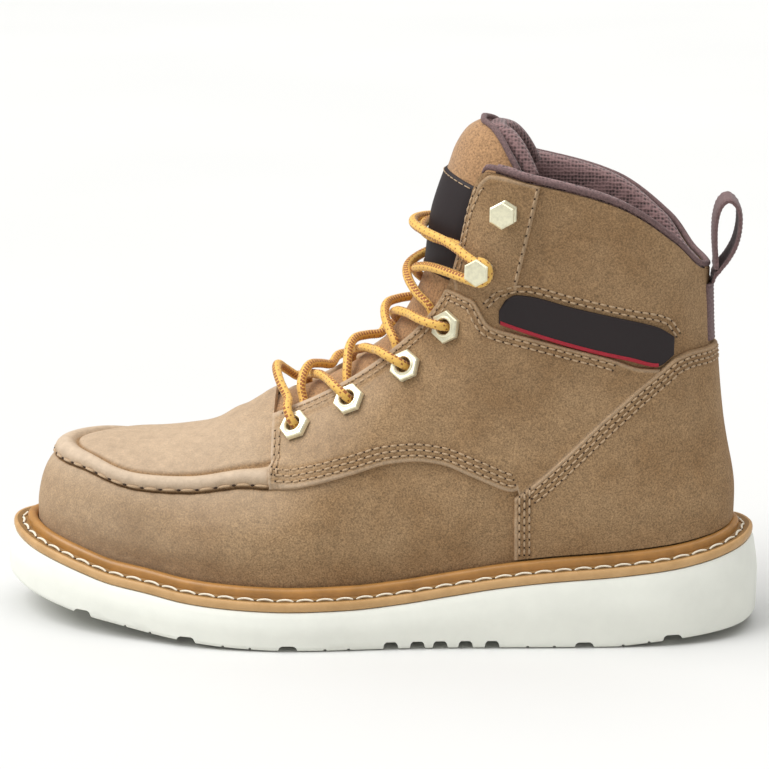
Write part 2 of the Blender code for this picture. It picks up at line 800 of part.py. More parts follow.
def tongue_frame(s):
    # Centre point, outward normal, radius and half-width at a length s along the tongue
    x_at = column(TONGUE, 0) * SOLE_LENGTH
    z_at = column(TONGUE, 1) * SHAFT_HEIGHT
    chord = np.append(0.0, np.cumsum(np.hypot(np.diff(x_at), np.diff(z_at))))
    x_slope = np.gradient(x_at, chord)
    z_slope = np.gradient(z_at, chord)
    s = min(max(s, 0.0), 1.0) * chord[-1]
    x = float(hermite(chord, x_at, x_slope, s))
    z = float(hermite(chord, z_at, z_slope, s))
    ahead = np.array([float(np.interp(s, chord, x_slope)), float(np.interp(s, chord, z_slope))])
    ahead = ahead / np.hypot(*ahead)
    radius = float(np.interp(s, chord, column(TONGUE, 3))) * TONGUE_RADIUS
    half = float(np.interp(s, chord, column(TONGUE, 2))) * radius
    return x, z, np.array([-ahead[1], ahead[0]]), radius, half, chord[-1]


def tongue_point(s, share, offset):
    x, z, normal, radius, half, length = tongue_frame(s)
    sine = half * share / radius
    cosine = math.sqrt(1.0 - sine * sine)
    reach = (radius + offset) * cosine - radius
    return np.array([x + normal[0] * reach, spine_y(x) + (radius + offset) * sine, z + normal[1] * reach])


def build_tongue(look):
    outer = []
    inner = []
    steps = 18
    across = 9
    length = tongue_frame(0.0)[5]
    for s in np.linspace(0.0, 1.0, steps):
        rolled = min(max(1.0 - (1.0 - s) * length / TONGUE_ROLL, 0.0), 1.0)
        thick = TONGUE_THICKNESS * (1.0 + 0.35 * rolled)
        for share in np.linspace(-1.0, 1.0, across):
            outer.append(tongue_point(s, share, 0.0))
            inner.append(tongue_point(s, share, -thick * (1.0 - 0.55 * abs(share) ** 6)))
    return shell("tongue", outer, inner, grid_faces(steps, across), look)


def build_insole(look):
    clearance = FOOT_INSET + WALL + 0.0012
    stations = [0.0, 0.03, 0.07] + list(np.linspace(0.12, 0.88, 16)) + [0.92, 0.96, 0.985, 1.0]

    def under(x):
        return sole_top(x) + GAP

    def top(x):
        return sole_top(x) + GAP + INSOLE_THICKNESS

    return plate("insole", clearance, clearance, under, top, stations, look)


def collar_frame(t):
    # Edge point of the opening, outward normal and the upward direction along the wall
    point = bare_point(t, EDGE)
    normal = upper_normal(t, EDGE)
    up = point - bare_point(t, EDGE - 0.1)
    return point, normal, up / np.linalg.norm(up)


def build_collar(look):
    stations = heel_run(COLLAR_FRONT)
    inside = WALL + GAP + 0.0003
    profile = (
        (inside, -COLLAR_DEPTH),
        (inside, -COLLAR_DEPTH * 0.5),
        (inside, -0.0010),
        (inside - 0.0002, 0.0008),
        (inside + COLLAR_PAD * 0.4, 0.0018),
        (inside + COLLAR_PAD * 0.85, 0.0004),
        (inside + COLLAR_PAD, -0.0060),
        (inside + COLLAR_PAD * 0.8, -COLLAR_DEPTH * 0.55),
        (inside + 0.0025, -COLLAR_DEPTH),
    )
    points = []
    for t in stations:
        point, normal, up = collar_frame(t)
        for depth, height in profile:
            if height > 0.0:
                points.append(point - normal * depth + up * height)
            else:
                points.append(upper_point(t, level_at(t, point[2] + height), -depth))
    count = len(profile)
    faces = []
    for i in range(len(stations) - 1):
        for j in range(count):
            a = i * count + j
            b = i * count + (j + 1) % count
            faces.append((a, b, b + count, a + count))
    faces.append(tuple(range(count)))
    faces.append(tuple(reversed(range((len(stations) - 1) * count, len(stations) * count))))
    return make_object("padded_collar", points, faces, look)


def build_piping(look):
    path = []
    for t in heel_run(PIPING_FRONT):
        point, normal, up = collar_frame(t)
        path.append(point - normal * (PIPING_RADIUS - 0.0003) + up * (PIPING_RADIUS + 3 * GAP))
    points, faces = tube(path, PIPING_RADIUS, 6)
    return make_object("collar_piping", points, faces, look)


def placed(point, normal, up_hint, local):
    # Points given as (across, up, out) set on a surface
    out = normal / np.linalg.norm(normal)
    across = np.cross(up_hint, out)
    across = across / np.linalg.norm(across)
    up = np.cross(out, across)
    return [point + across * a + up * b + out * c for a, b, c in local]


def ring_solid(name, point, normal, up_hint, radius, hole, base, height, sides, look):
    local = []
    for c, outer_share in ((base, 1.0), (base + height * 0.55, 1.0), (base + height, 0.84)):
        for k in range(sides):
            turn = 2 * math.pi * k / sides
            local.append((radius * outer_share * math.cos(turn), radius * outer_share * math.sin(turn), c))
    for c in (base + height, base):
        for k in range(sides):
            turn = 2 * math.pi * k / sides
            local.append((hole * math.cos(turn), hole * math.sin(turn), c))
    faces = []
    for row in range(5):
        for k in range(sides):
            a = row * sides + k
            b = row * sides + (k + 1) % sides
            c = ((row + 1) % 5) * sides + (k + 1) % sides
            d = ((row + 1) % 5) * sides + k
            faces.append((a, b, c, d))
    return make_object(name, placed(point, normal, up_hint, local), faces, look)


def build_eyelets(look):
    up = np.array([0.0, 0.0, 1.0])
    for side, word in ((-1, "lateral"), (1, "medial")):
        for number, place in enumerate(EYELETS, 1):
            t, level = fitting_spot(place, side)
            normal = upper_normal(t, level)
            point = bare_point(t, level)
            base = 2 * GAP + OVERLAY + FITTING_REST
            name = f"eyelet_{word}_{number}"
            ring_solid(name, point, normal, up, EYELET_RADIUS, EYELET_HOLE, base, EYELET_THICKNESS, 6, look)


def build_hooks(look):
    up = np.array([0.0, 0.0, 1.0])
    for side, word in ((-1, "lateral"), (1, "medial")):
        for number, place in enumerate(HOOKS, 1):
            t, level = fitting_spot(place, side)
            normal = upper_normal(t, level)
            point = bare_point(t, level)
            base = 2 * GAP + OVERLAY + FITTING_REST
            rings = (
                (HOOK_BASE_RADIUS, base),
                (HOOK_BASE_RADIUS, base + HOOK_HEIGHT * 0.16),
                (HOOK_SHANK_RADIUS, base + HOOK_HEIGHT * 0.22),
                (HOOK_SHANK_RADIUS, base + HOOK_HEIGHT - HOOK_HEAD * 1.2),
                (HOOK_RADIUS, base + HOOK_HEIGHT - HOOK_HEAD),
                (HOOK_RADIUS * 0.92, base + HOOK_HEIGHT),
            )
            local = []
            for radius, out in rings:
                for k in range(6):
                    turn = 2 * math.pi * k / 6
                    local.append((radius * math.cos(turn), radius * math.sin(turn), out))
            faces = []
            for row in range(len(rings) - 1):
                for k in range(6):
                    a = row * 6 + k
                    b = row * 6 + (k + 1) % 6
                    faces.append((a, b, b + 6, a + 6))
            faces.append(tuple(range(6)))
            faces.append(tuple(range((len(rings) - 1) * 6, len(rings) * 6)))
            make_object(f"hook_{word}_{number}", placed(point, normal, up, local), faces, look)


def tongue_spot(point):
    # The place on the tongue nearest to a point, as its two shares
    best = None
    for s in np.linspace(0.0, 1.0, 60):
        for share in np.linspace(-1.0, 1.0, 21):
            gap = np.linalg.norm(tongue_point(s, share, 0.0) - point)
            if best is None or gap < best[0]:
                best = (gap, s, share)
    return best[1], best[2]


def strand_end(place, side, passing):
    # Two points at one height over an eyelet's face: above its hole and above the throat's edge
    t, level = fitting_spot(place, side)
    normal = upper_normal(t, level)
    over_ring = 2 * GAP + OVERLAY + FITTING_REST + EYELET_THICKNESS + GAP + LACE_RADIUS
    hole = bare_point(t, level) + normal * over_ring
    away = bare_point(station(passing * SOLE_LENGTH, side), EDGE) - hole
    return [hole, hole + away - normal * (away @ normal)]


def build_laces(look):
    # Strands run crosswise over the tongue from eyelet to eyelet; the last pair stops at the edge
    over_edge = 2 * GAP + OVERLAY + LACE_RADIUS + GAP
    pieces = []
    for row in range(len(EYELETS)):
        leaving = LACE_ROWS[row][0]
        arriving = LACE_ROWS[row + 1][1]
        for side in (-1, 1):
            first = strand_end(EYELETS[row], side, leaving)
            if row + 1 < len(EYELETS):
                last = strand_end(EYELETS[row + 1], -side, arriving)[::-1]
            else:
                last = [upper_point(station(arriving * SOLE_LENGTH, -side), EDGE, over_edge)]
            start = tongue_spot(first[-1])
            end = tongue_spot(last[0])
            path = list(first)
            for share in (0.25, 0.5, 0.75):
                s = start[0] + (end[0] - start[0]) * share
                across = start[1] + (end[1] - start[1]) * share
                raised = LACE_RADIUS * 1.2 if side > 0 and share == 0.5 else 0.0
                path.append(tongue_point(s, across, LACE_RADIUS + LACE_REST + raised))
            path += last
            points, faces = tube(path, LACE_RADIUS, 5)
            pieces.append(make_object(f"lace_run_{len(pieces)}", points, faces, look))
    lace = pieces[0]
    for other in pieces[1:]:
        join = lace.modifiers.new("join", "BOOLEAN")
        join.operation = "UNION"
        join.solver = "EXACT"
        join.object = other
        bpy.context.view_layer.update()
        graph = bpy.context.evaluated_depsgraph_get()
        result = bpy.data.meshes.new_from_object(lace.evaluated_get(graph))
        lace.modifiers.clear()
        lace.data = result
        bpy.data.objects.remove(other, do_unlink=True)
    lace.name = "lace"
    return lace


def heel_spot(y, z, offset):
    # Point on the back of the upper at a sideways distance and height
    side = -1 if y < 0 else 1
    turns = [0.01 * k for k in range(9)]
    spots = [upper_point(t if side < 0 else 2.0 - t, level_at(t, z), offset) for t in turns]
    reach = [abs(spot[1]) for spot in spots]
    return float(np.interp(abs(y), reach, [spot[0] for spot in spots]))


def build_pull_loop(look):
    # Webbing strip up the back of the heel, out into a loop above the collar and back down
    outer = []
    inner = []
    half = LOOP_WIDTH / 2
    widths = (-half, -half / 2, 0.0, half / 2, half)
    top = bare_point(0.0, EDGE)
    for z in np.linspace(LOOP_FOOT, top[2] - 0.005, 4):
        for y in widths:
            x = heel_spot(y, z, GAP)
            outer.append((x + LOOP_THICKNESS, y, z))
            inner.append((x, y, z))
    start = heel_spot(0.0, top[2], GAP) - top[0]
    for i in range(len(LOOP_PATH)):
        before = LOOP_PATH[max(i - 1, 0)]
        after = LOOP_PATH[min(i + 1, len(LOOP_PATH) - 1)]
        along = np.array([after[0] - before[0], after[1] - before[1]])
        along = along / np.hypot(*along)
        x = top[0] + start + LOOP_PATH[i][0] * LOOP_HEIGHT
        z = top[2] + LOOP_PATH[i][1] * LOOP_HEIGHT
        for y in widths:
            outer.append((x + along[1] * LOOP_THICKNESS, y, z - along[0] * LOOP_THICKNESS))
            inner.append((x, y, z))
    return shell("pull_loop", outer, inner, grid_faces(4 + len(LOOP_PATH), len(widths)), look)


def main():
    clear_objects()
    nubuck = material("tan_nubuck", (0.40, 0.26, 0.145), 0.9)
    nubuck_panel = material("tan_nubuck_panel", (0.42, 0.275, 0.155), 0.9)
    suede = material("tongue_suede", (0.60, 0.40, 0.23), 0.95)
    mesh_cloth = material("plum_mesh", (0.085, 0.06, 0.065), 0.95)
    webbing = material("plum_webbing", (0.09, 0.06, 0.065), 0.85)
    badge = material("plum_badge", (0.045, 0.028, 0.035), 0.5)
    rubber = material("off_white_rubber", (0.80, 0.82, 0.74), 0.6)
    welt = material("honey_welt", (0.55, 0.32, 0.13), 0.55)
    washer = material("pale_brass", (0.75, 0.78, 0.62), 0.35, 0.6)
    hook = material("brass_hook", (0.72, 0.74, 0.58), 0.35, 0.6)
    cord = material("yellow_lace", (0.78, 0.48, 0.10), 0.8)
    board = material("grey_insole", (0.10, 0.09, 0.09), 0.9)

    build_outsole(rubber)
    build_welt(welt)
    build_upper(nubuck)
    build_tongue(suede)
    build_insole(board)
    build_counter(nubuck_panel)
    build_collar(mesh_cloth)
    build_piping(webbing)
    for side, word in ((-1, "lateral"), (1, "medial")):
        band(f"quarter_{word}", QUARTER, side, nubuck_panel)
        band(f"shaft_panel_{word}", SHAFT_PANEL, side, nubuck_panel)
        band(f"badge_{word}", BADGE, side, badge)
    build_eyelets(washer)
    build_hooks(hook)
    build_laces(cord)
    build_pull_loop(webbing)


main()
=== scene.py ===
import math

import bmesh
import bpy
import numpy as np
from bpy.props import FloatProperty, FloatVectorProperty, PointerProperty
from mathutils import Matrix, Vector


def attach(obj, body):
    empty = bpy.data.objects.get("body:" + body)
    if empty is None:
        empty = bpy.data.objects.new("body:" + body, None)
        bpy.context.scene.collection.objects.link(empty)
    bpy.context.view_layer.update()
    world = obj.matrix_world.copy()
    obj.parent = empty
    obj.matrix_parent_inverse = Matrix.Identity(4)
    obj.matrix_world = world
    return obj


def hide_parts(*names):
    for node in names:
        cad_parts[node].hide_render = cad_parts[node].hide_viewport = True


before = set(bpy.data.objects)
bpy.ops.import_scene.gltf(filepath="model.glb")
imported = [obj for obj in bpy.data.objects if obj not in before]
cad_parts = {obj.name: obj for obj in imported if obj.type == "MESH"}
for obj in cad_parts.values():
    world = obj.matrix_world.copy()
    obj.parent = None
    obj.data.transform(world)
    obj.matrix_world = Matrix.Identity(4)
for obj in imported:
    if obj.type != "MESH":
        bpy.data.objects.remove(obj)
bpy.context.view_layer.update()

bl_info = {
    "name": "Wedge sole work boot",
    "version": (1, 0, 0),
    "blender": (4, 5, 0),
    "location": "3D View > Sidebar > Boot",
    "description": "Dresses the solids of a left wedge sole work boot",
    "category": "Object",
}

# Main sizes in metres, as in the solids. Toe along -X, lateral side along -Y, up +Z.
SOLE_LENGTH = 0.310
BALL_WIDTH = 0.112
SOLE_HEEL = 0.038
SHAFT_HEIGHT = 0.1885
TOE_SHIFT = 0.008
SOLE_BULGE = 0.0025
WELT_THICKNESS = 0.0034
WELT_WIDTH = 0.0098
BEAD_HEIGHT = 0.0042
WALL = 0.0020
OVERLAY = 0.0016
RIDGE_HEIGHT = 0.0032
GAP = 0.0003
INSOLE_THICKNESS = 0.004
TONGUE_THICKNESS = 0.0055
TONGUE_RADIUS = 0.2545 * BALL_WIDTH
TONGUE_ROLL = 0.012
TONGUE_FLARE = 0.0095
TONGUE_DROOP = 0.0070
COLLAR_PAD = 0.0075
COLLAR_DEPTH = 0.034
PIPING_RADIUS = 0.0012
EYELET_RADIUS = 0.0066
EYELET_HOLE = 0.0031
EYELET_THICKNESS = 0.0016
FITTING_REST = 0.0005
HOOK_RADIUS = 0.0054
HOOK_BASE_RADIUS = 0.0046
HOOK_SHANK_RADIUS = 0.0024
HOOK_HEIGHT = 0.0062
HOOK_HEAD = 0.0018
LACE_RADIUS = 0.0018
LOOP_WIDTH = 0.020
LOOP_THICKNESS = 0.0018
LOOP_HEIGHT = 0.0276
LOOP_FOOT = 0.626 * SHAFT_HEIGHT
TOE_FAN = -0.3161 * SOLE_LENGTH
HEEL_FAN = 0.2968 * SOLE_LENGTH
THROAT_FRONT = -0.1355 * SOLE_LENGTH
SPINE_BEND = 0.1935 * SOLE_LENGTH
PIPING_FRONT = 0.1452 * SOLE_LENGTH
FOOT_INSET = SOLE_BULGE + WELT_WIDTH + GAP
EDGE = 5.0
CROWN = 6.0

# Camera of the photograph: its place and aim in metres, and its lens on a 36 mm sensor
CAMERA_AT = (0.0770, -1.0647, 0.3621)
CAMERA_AIM = (0.0025, 0.0, 0.096)
CAMERA_LENS = 126.9

# Studio: half-width of the floor, strength of the white sky, and each sun's direction, strength and spread
FLOOR_REACH = 12.0
SKY_STRENGTH = 0.38
LIGHTS = (
    # name, towards, strength, spread
    ("key", (-0.72, -0.22, 1.0), 2.6, 45.0),
    ("top", (0.15, 0.12, 1.0), 1.5, 70.0),
)

# Sole outline: share of length from heel to toe; lateral and medial half-width, shares of ball width
OUTLINE = (
    # along, lateral, medial
    (0.000, 0.000, 0.000),
    (0.005, 0.085, 0.085),
    (0.016, 0.161, 0.161),
    (0.039, 0.237, 0.237),
    (0.081, 0.308, 0.304),
    (0.129, 0.348, 0.339),
    (0.177, 0.369, 0.357),
    (0.242, 0.388, 0.359),
    (0.323, 0.407, 0.355),
    (0.416, 0.429, 0.360),
    (0.484, 0.455, 0.380),
    (0.548, 0.484, 0.420),
    (0.613, 0.502, 0.464),
    (0.677, 0.498, 0.496),
    (0.742, 0.469, 0.504),
    (0.806, 0.415, 0.493),
    (0.871, 0.353, 0.458),
    (0.919, 0.277, 0.404),
    (0.958, 0.187, 0.325),
    (0.984, 0.084, 0.230),
    (1.000, -0.071, 0.071),
)

# Sole in side view: share of length from heel; underside and top as shares of the heel's height
SOLE_SIDE = (
    # along, under, top
    (0.000, 0.122, 1.000),
    (0.023, 0.108, 0.958),
    (0.068, 0.084, 0.876),
    (0.116, 0.055, 0.811),
    (0.155, 0.024, 0.775),
    (0.190, 0.000, 0.747),
    (0.271, 0.000, 0.697),
    (0.335, 0.000, 0.637),
    (0.397, 0.000, 0.555),
    (0.461, 0.000, 0.474),
    (0.526, 0.000, 0.424),
    (0.606, 0.000, 0.410),
    (0.652, 0.011, 0.418),
    (0.694, 0.027, 0.433),
    (0.739, 0.055, 0.460),
    (0.787, 0.097, 0.516),
    (0.839, 0.156, 0.568),
    (0.877, 0.195, 0.639),
    (0.929, 0.262, 0.732),
    (0.971, 0.326, 0.808),
    (1.000, 0.372, 0.868),
)

# In the tables below a place along the foot is a share of the sole's length from its middle,
# towards the heel, and an edge's height is a share of the shaft's height.

# Upper sections: widths are shares of the half-width at the welt, heights are shares of the way
# from the welt to the section's own edge height; edge and crown are shares of the shaft's height
SECTIONS = (
    # along, low_w, low_h, mid_w, mid_h, high_w, high_h, edge_w, edge, crown
    (0.4603, 1.000, 0.190, 0.892, 0.470, 0.830, 0.740, 0.800, 0.776, 1.100),
    (0.4387, 1.015, 0.180, 0.890, 0.460, 0.835, 0.730, 0.820, 0.790, 1.100),
    (0.3774, 1.055, 0.160, 0.965, 0.430, 0.970, 0.720, 0.980, 0.856, 1.100),
    (0.2968, 1.120, 0.150, 1.045, 0.470, 1.085, 0.780, 1.110, 0.938, 1.100),
    (0.1935, 1.090, 0.140, 1.035, 0.460, 1.050, 0.780, 1.060, 0.982, 1.100),
    (0.1419, 1.080, 0.130, 1.020, 0.440, 0.990, 0.760, 0.880, 1.000, 1.100),
    (0.1330, 1.080, 0.130, 1.015, 0.440, 0.958, 0.750, 0.828, 0.988, 1.084),
    (0.1226, 1.080, 0.130, 1.010, 0.440, 0.920, 0.740, 0.760, 0.945, 1.060),
    (0.1097, 1.080, 0.140, 1.010, 0.440, 0.890, 0.730, 0.690, 0.835, 0.960),
    (0.0903, 1.075, 0.160, 0.995, 0.470, 0.850, 0.760, 0.640, 0.742, 0.830),
    (0.0161, 1.060, 0.210, 0.965, 0.540, 0.760, 0.825, 0.480, 0.602, 0.640),
    (-0.0645, 1.045, 0.245, 0.940, 0.605, 0.700, 0.835, 0.390, 0.511, 0.535),
    (-0.1355, 1.045, 0.300, 0.830, 0.655, 0.705, 0.760, 0.325, 0.455, 0.494),
    (-0.1774, 1.045, 0.320, 0.820, 0.715, 0.710, 0.800, 0.320, 0.422, 0.453),
    (-0.2419, 1.050, 0.345, 0.865, 0.735, 0.750, 0.820, 0.320, 0.390, 0.398),
    (-0.3161, 1.060, 0.350, 0.950, 0.775, 0.825, 0.870, 0.320, 0.374, 0.379),
    (-0.4032, 1.030, 0.400, 0.850, 0.830, 0.700, 0.930, 0.320, 0.376, 0.379),
    (-0.4603, 0.992, 0.370, 0.820, 0.830, 0.640, 0.950, 0.320, 0.376, 0.379),
)

# Tongue: centre line of its outer face, then half-width as a share of its own radius,
# and that radius as a share of the main one
TONGUE = (
    # along, height, half_width, radius
    (-0.172, 0.4300, 0.62, 1.10),
    (-0.137, 0.4690, 0.68, 1.08),
    (-0.069, 0.5180, 0.78, 1.02),
    (0.006, 0.6080, 0.90, 0.92),
    (0.041, 0.6900, 0.95, 0.86),
    (0.060, 0.7650, 0.96, 0.85),
    (0.066, 0.8340, 0.96, 0.86),
    (0.071, 0.8950, 0.96, 0.88),
    (0.079, 0.9400, 0.96, 0.90),
    (0.090, 0.9900, 0.94, 0.94),
    (0.100, 1.0350, 0.91, 0.98),
    (0.116, 1.0720, 0.87, 1.03),
    (0.136, 1.0900, 0.80, 1.08),
)

# Quarter panel: its lower and its upper edge
QUARTER = (
    # along, lower, upper
    (-0.1355, 0.3236, 0.4775),
    (-0.1032, 0.3289, 0.5040),
    (-0.0774, 0.3395, 0.5305),
    (-0.0258, 0.3623, 0.5942),
    (0.0258, 0.3862, 0.6790),
    (0.0571, 0.3910, 0.7427),
    (0.0871, 0.3862, 0.7480),
    (0.1277, 0.3634, 0.7374),
    (0.1506, 0.3475, 0.6844),
    (0.1806, 0.3316, 0.6684),
    (0.2065, 0.3554, 0.6578),
    (0.2548, 0.4297, 0.6366),
    (0.3013, 0.5066, 0.6154),
    (0.3371, 0.5640, 0.5930),
    (0.3640, 0.5860, 0.5885),
)

# Counter: its upper edge, from its front end back to the heel
COUNTER = (
    # along, upper
    (0.1839, 0.3183),
    (0.2032, 0.3422),
    (0.2258, 0.3740),
    (0.2548, 0.4191),
    (0.3013, 0.4955),
    (0.3371, 0.5517),
    (0.3645, 0.5862),
    (0.3871, 0.6101),
    (0.4194, 0.6180),
    (0.4603, 0.6180),
)

# Front panel of the shaft beside the upper hooks: its lower edge; it ends above at the shaft's edge
SHAFT_PANEL = (
    # along, lower
    (0.1032, 0.7639),
    (0.1129, 0.7639),
    (0.1242, 0.7639),
    (0.1419, 0.7639),
    (0.1677, 0.7692),
    (0.1935, 0.7745),
)

# Side badge: its lower and its upper edge
BADGE = (
    # along, lower, upper
    (0.1613, 0.6897, 0.7160),
    (0.1710, 0.6840, 0.7400),
    (0.1839, 0.6764, 0.7491),
    (0.2581, 0.6385, 0.7215),
    (0.3226, 0.6105, 0.6950),
    (0.3613, 0.5945, 0.6760),
    (0.3839, 0.6160, 0.6552),
)

# Seam above the badge, as a place along and a height
BADGE_SEAM = (
    # along, height
    (0.1420, 0.7300),
    (0.1600, 0.7560),
    (0.1900, 0.7680),
    (0.2581, 0.7430),
    (0.3226, 0.7160),
    (0.3760, 0.6930),
    (0.3960, 0.6600),
)

# Eyelets and hooks: place along the foot and height on the quarter
EYELETS = ((-0.1006, 0.4393), (-0.0297, 0.5013), (0.0439, 0.5809), (0.0977, 0.6711))
HOOKS = ((0.1406, 0.7984), (0.1694, 0.9204))

# Where a strand comes out under the throat's edge beside each eyelet,
# and where the strand into that eyelet passes over the edge
LACE_EDGES = (
    # out_under, in_over
    (-0.0980, -0.1090),
    (-0.0400, -0.0530),
    (0.0240, 0.0130),
    (0.0700, 0.0640),
)

# Pull loop above the collar: distance behind and above the top of the heel, shares of its height
LOOP_PATH = (
    # behind, above
    (0.029, -0.072),
    (0.109, 0.058),
    (0.203, 0.181),
    (0.304, 0.380),
    (0.355, 0.634),
    (0.337, 0.877),
    (0.225, 1.000),
    (0.123, 0.913),
    (0.072, 0.688),
    (0.072, 0.399),
    (0.087, 0.225),
    (0.098, 0.110),
    (0.092, 0.035),
)

# Cross grooves of the underside and fine sipes between them
WIDE_NOTCHES = (-0.3774, -0.2355, -0.1032, 0.2742, 0.3871)
NARROW_NOTCHES = (0.0274, 0.0613, 0.0903, 0.1226, 0.1565)
# Width and depth of one notch in metres
WIDE_NOTCH = (0.0082, 0.0026)
NARROW_NOTCH = (0.0064, 0.0034)
SIPES = (-0.318, -0.284, -0.187, -0.152, -0.056, -0.026, 0.202, 0.236, 0.324, 0.357)

# Soft creases of the upper in metres and degrees: troughs are positive, ridges negative
CREASES = (
    # x, height, angle, half_length, half_width, depth
    (0.112, 0.1450, -14.0, 0.026, 0.0060, 0.0007),
    (0.104, 0.1560, -18.0, 0.024, 0.0070, -0.0005),
    (0.090, 0.1600, -10.0, 0.022, 0.0060, 0.0005),
    (0.078, 0.1060, 24.0, 0.022, 0.0080, 0.0005),
    (0.040, 0.1020, 52.0, 0.020, 0.0070, 0.0005),
    (0.020, 0.0920, 40.0, 0.020, 0.0080, -0.0004),
    (-0.052, 0.0860, 78.0, 0.010, 0.0032, 0.0005),
    (-0.060, 0.0820, 82.0, 0.012, 0.0034, -0.0004),
    (0.020, 0.0500, -6.0, 0.030, 0.0080, 0.0004),
    (-0.060, 0.0450, 8.0, 0.030, 0.0090, -0.0004),
    (0.125, 0.0700, 6.0, 0.020, 0.0100, 0.0005),
)


def linear(code):
    """An sRGB hex colour as linear values."""
    parts = [int(code[i:i + 2], 16) / 255 for i in (0, 2, 4)]
    return tuple(c / 12.92 if c <= 0.04045 else ((c + 0.055) / 1.055) ** 2.4 for c in parts)


def column(table, index):
    return np.array([row[index] for row in table])


def run_along(points):
    """Length along a line at each of its points."""
    return np.append(0.0, np.cumsum(np.linalg.norm(np.diff(points, axis=0), axis=1)))


def at_run(wanted, run, values):
    """Points or directions of a line at wanted lengths along it."""
    return np.stack([np.interp(wanted, run, values[:, k]) for k in range(3)], axis=-1)


def curve_weights(s):
    """Weights of the first value, first slope, second value and second slope in a span."""
    return (1 + 2 * s) * (1 - s) ** 2, s * (1 - s) ** 2, s * s * (3 - 2 * s), s * s * (s - 1)


def hermite(knots, values, slopes, at):
    """Values of a smooth curve with given slopes at its knots."""
    i = np.clip(np.searchsorted(knots, at) - 1, 0, len(knots) - 2)
    step = knots[i + 1] - knots[i]
    a, b, c, d = curve_weights(np.clip((at - knots[i]) / step, 0.0, 1.0))
    return a * values[i] + b * step * slopes[i] + c * values[i + 1] + d * step * slopes[i + 1]


def smooth_table(table, value, key=0):
    """A smooth, never overshooting function of one column over another."""
    knots = column(table, key)
    order = np.argsort(knots)
    knots = knots[order]
    values = column(table, value)[order]
    step = np.diff(knots)
    rise = np.diff(values) / step
    slopes = np.zeros(len(knots))
    for i in range(1, len(knots) - 1):
        if rise[i - 1] * rise[i] > 0.0:
            first = 2 * step[i] + step[i - 1]
            second = step[i] + 2 * step[i - 1]
            slopes[i] = (first + second) / (first / rise[i - 1] + second / rise[i])
    slopes[0] = rise[0]
    slopes[-1] = rise[-1]
    return lambda at: hermite(knots, values, slopes, np.asarray(at, float))


def height_table(table, value):
    """Height of an edge line by foot position, in metres."""
    shares = smooth_table(table, value)
    return lambda x: SHAFT_HEIGHT * shares(np.asarray(x) / SOLE_LENGTH)


def outline_setup():
    x = SOLE_LENGTH / 2 - column(OUTLINE, 0) * SOLE_LENGTH
    lateral = np.stack([x, -column(OUTLINE, 1) * BALL_WIDTH], axis=1)
    medial = np.stack([x, column(OUTLINE, 2) * BALL_WIDTH], axis=1)
    chord = np.hypot(*np.diff(lateral, axis=0).T) + np.hypot(*np.diff(medial, axis=0).T)
    knots = np.append(0.0, np.cumsum(chord))
    knots = knots / knots[-1]
    params = np.concatenate([knots, 2.0 - knots[-2:0:-1]])
    points = np.concatenate([lateral, medial[-2:0:-1]])
    n = len(params)
    step = np.diff(np.append(params, params[0] + 2.0))
    matrix = np.zeros((n, n))
    right = np.zeros((n, 2))
    for i in range(n):
        matrix[i, i - 1] += step[i - 1] / 6
        matrix[i, i] += (step[i - 1] + step[i]) / 3
        matrix[i, (i + 1) % n] += step[i] / 6
        ahead = (points[(i + 1) % n] - points[i]) / step[i]
        right[i] = ahead - (points[i] - points[i - 1]) / step[i - 1]
    return params, points, np.linalg.solve(matrix, right)


RIM_PARAMS, RIM_POINTS, RIM_BENDS = outline_setup()


def rim(t, inset=0.0):
    """Points on the sole outline: t runs 0 heel, 1 toe by the lateral side, 2 heel by the medial one."""
    t = np.atleast_1d(np.asarray(t, float)) % 2.0
    i = np.searchsorted(RIM_PARAMS, t, side="right") - 1
    j = (i + 1) % len(RIM_PARAMS)
    step = np.where(j == 0, 2.0, RIM_PARAMS[j]) - RIM_PARAMS[i]
    b = ((t - RIM_PARAMS[i]) / step)[:, None]
    a = 1.0 - b
    step = step[:, None]
    bends = (a ** 3 - a) * RIM_BENDS[i] + (b ** 3 - b) * RIM_BENDS[j]
    point = a * RIM_POINTS[i] + b * RIM_POINTS[j] + bends * step * step / 6
    slope = (RIM_POINTS[j] - RIM_POINTS[i]) / step
    slope = slope + ((3 * b * b - 1) * RIM_BENDS[j] - (3 * a * a - 1) * RIM_BENDS[i]) * step / 6
    slope = slope / np.hypot(slope[:, 0], slope[:, 1])[:, None]
    inward = np.stack([slope[:, 1], -slope[:, 0]], axis=1)
    return point + inward * np.reshape(inset, (-1, 1))


SOLE_UNDER_SHARE = smooth_table(SOLE_SIDE, 1)
SOLE_TOP_SHARE = smooth_table(SOLE_SIDE, 2)
SECTION_AT = [smooth_table(SECTIONS, c) for c in range(1, 10)]


def sole_under(x):
    return SOLE_HEEL * SOLE_UNDER_SHARE(0.5 - x / SOLE_LENGTH)


def sole_top(x):
    return SOLE_HEEL * SOLE_TOP_SHARE(0.5 - x / SOLE_LENGTH)


def spine_y(x):
    share = np.clip((SPINE_BEND - x) / (SPINE_BEND - TOE_FAN), 0.0, 1.0)
    return TOE_SHIFT * share * share * (3 - 2 * share)


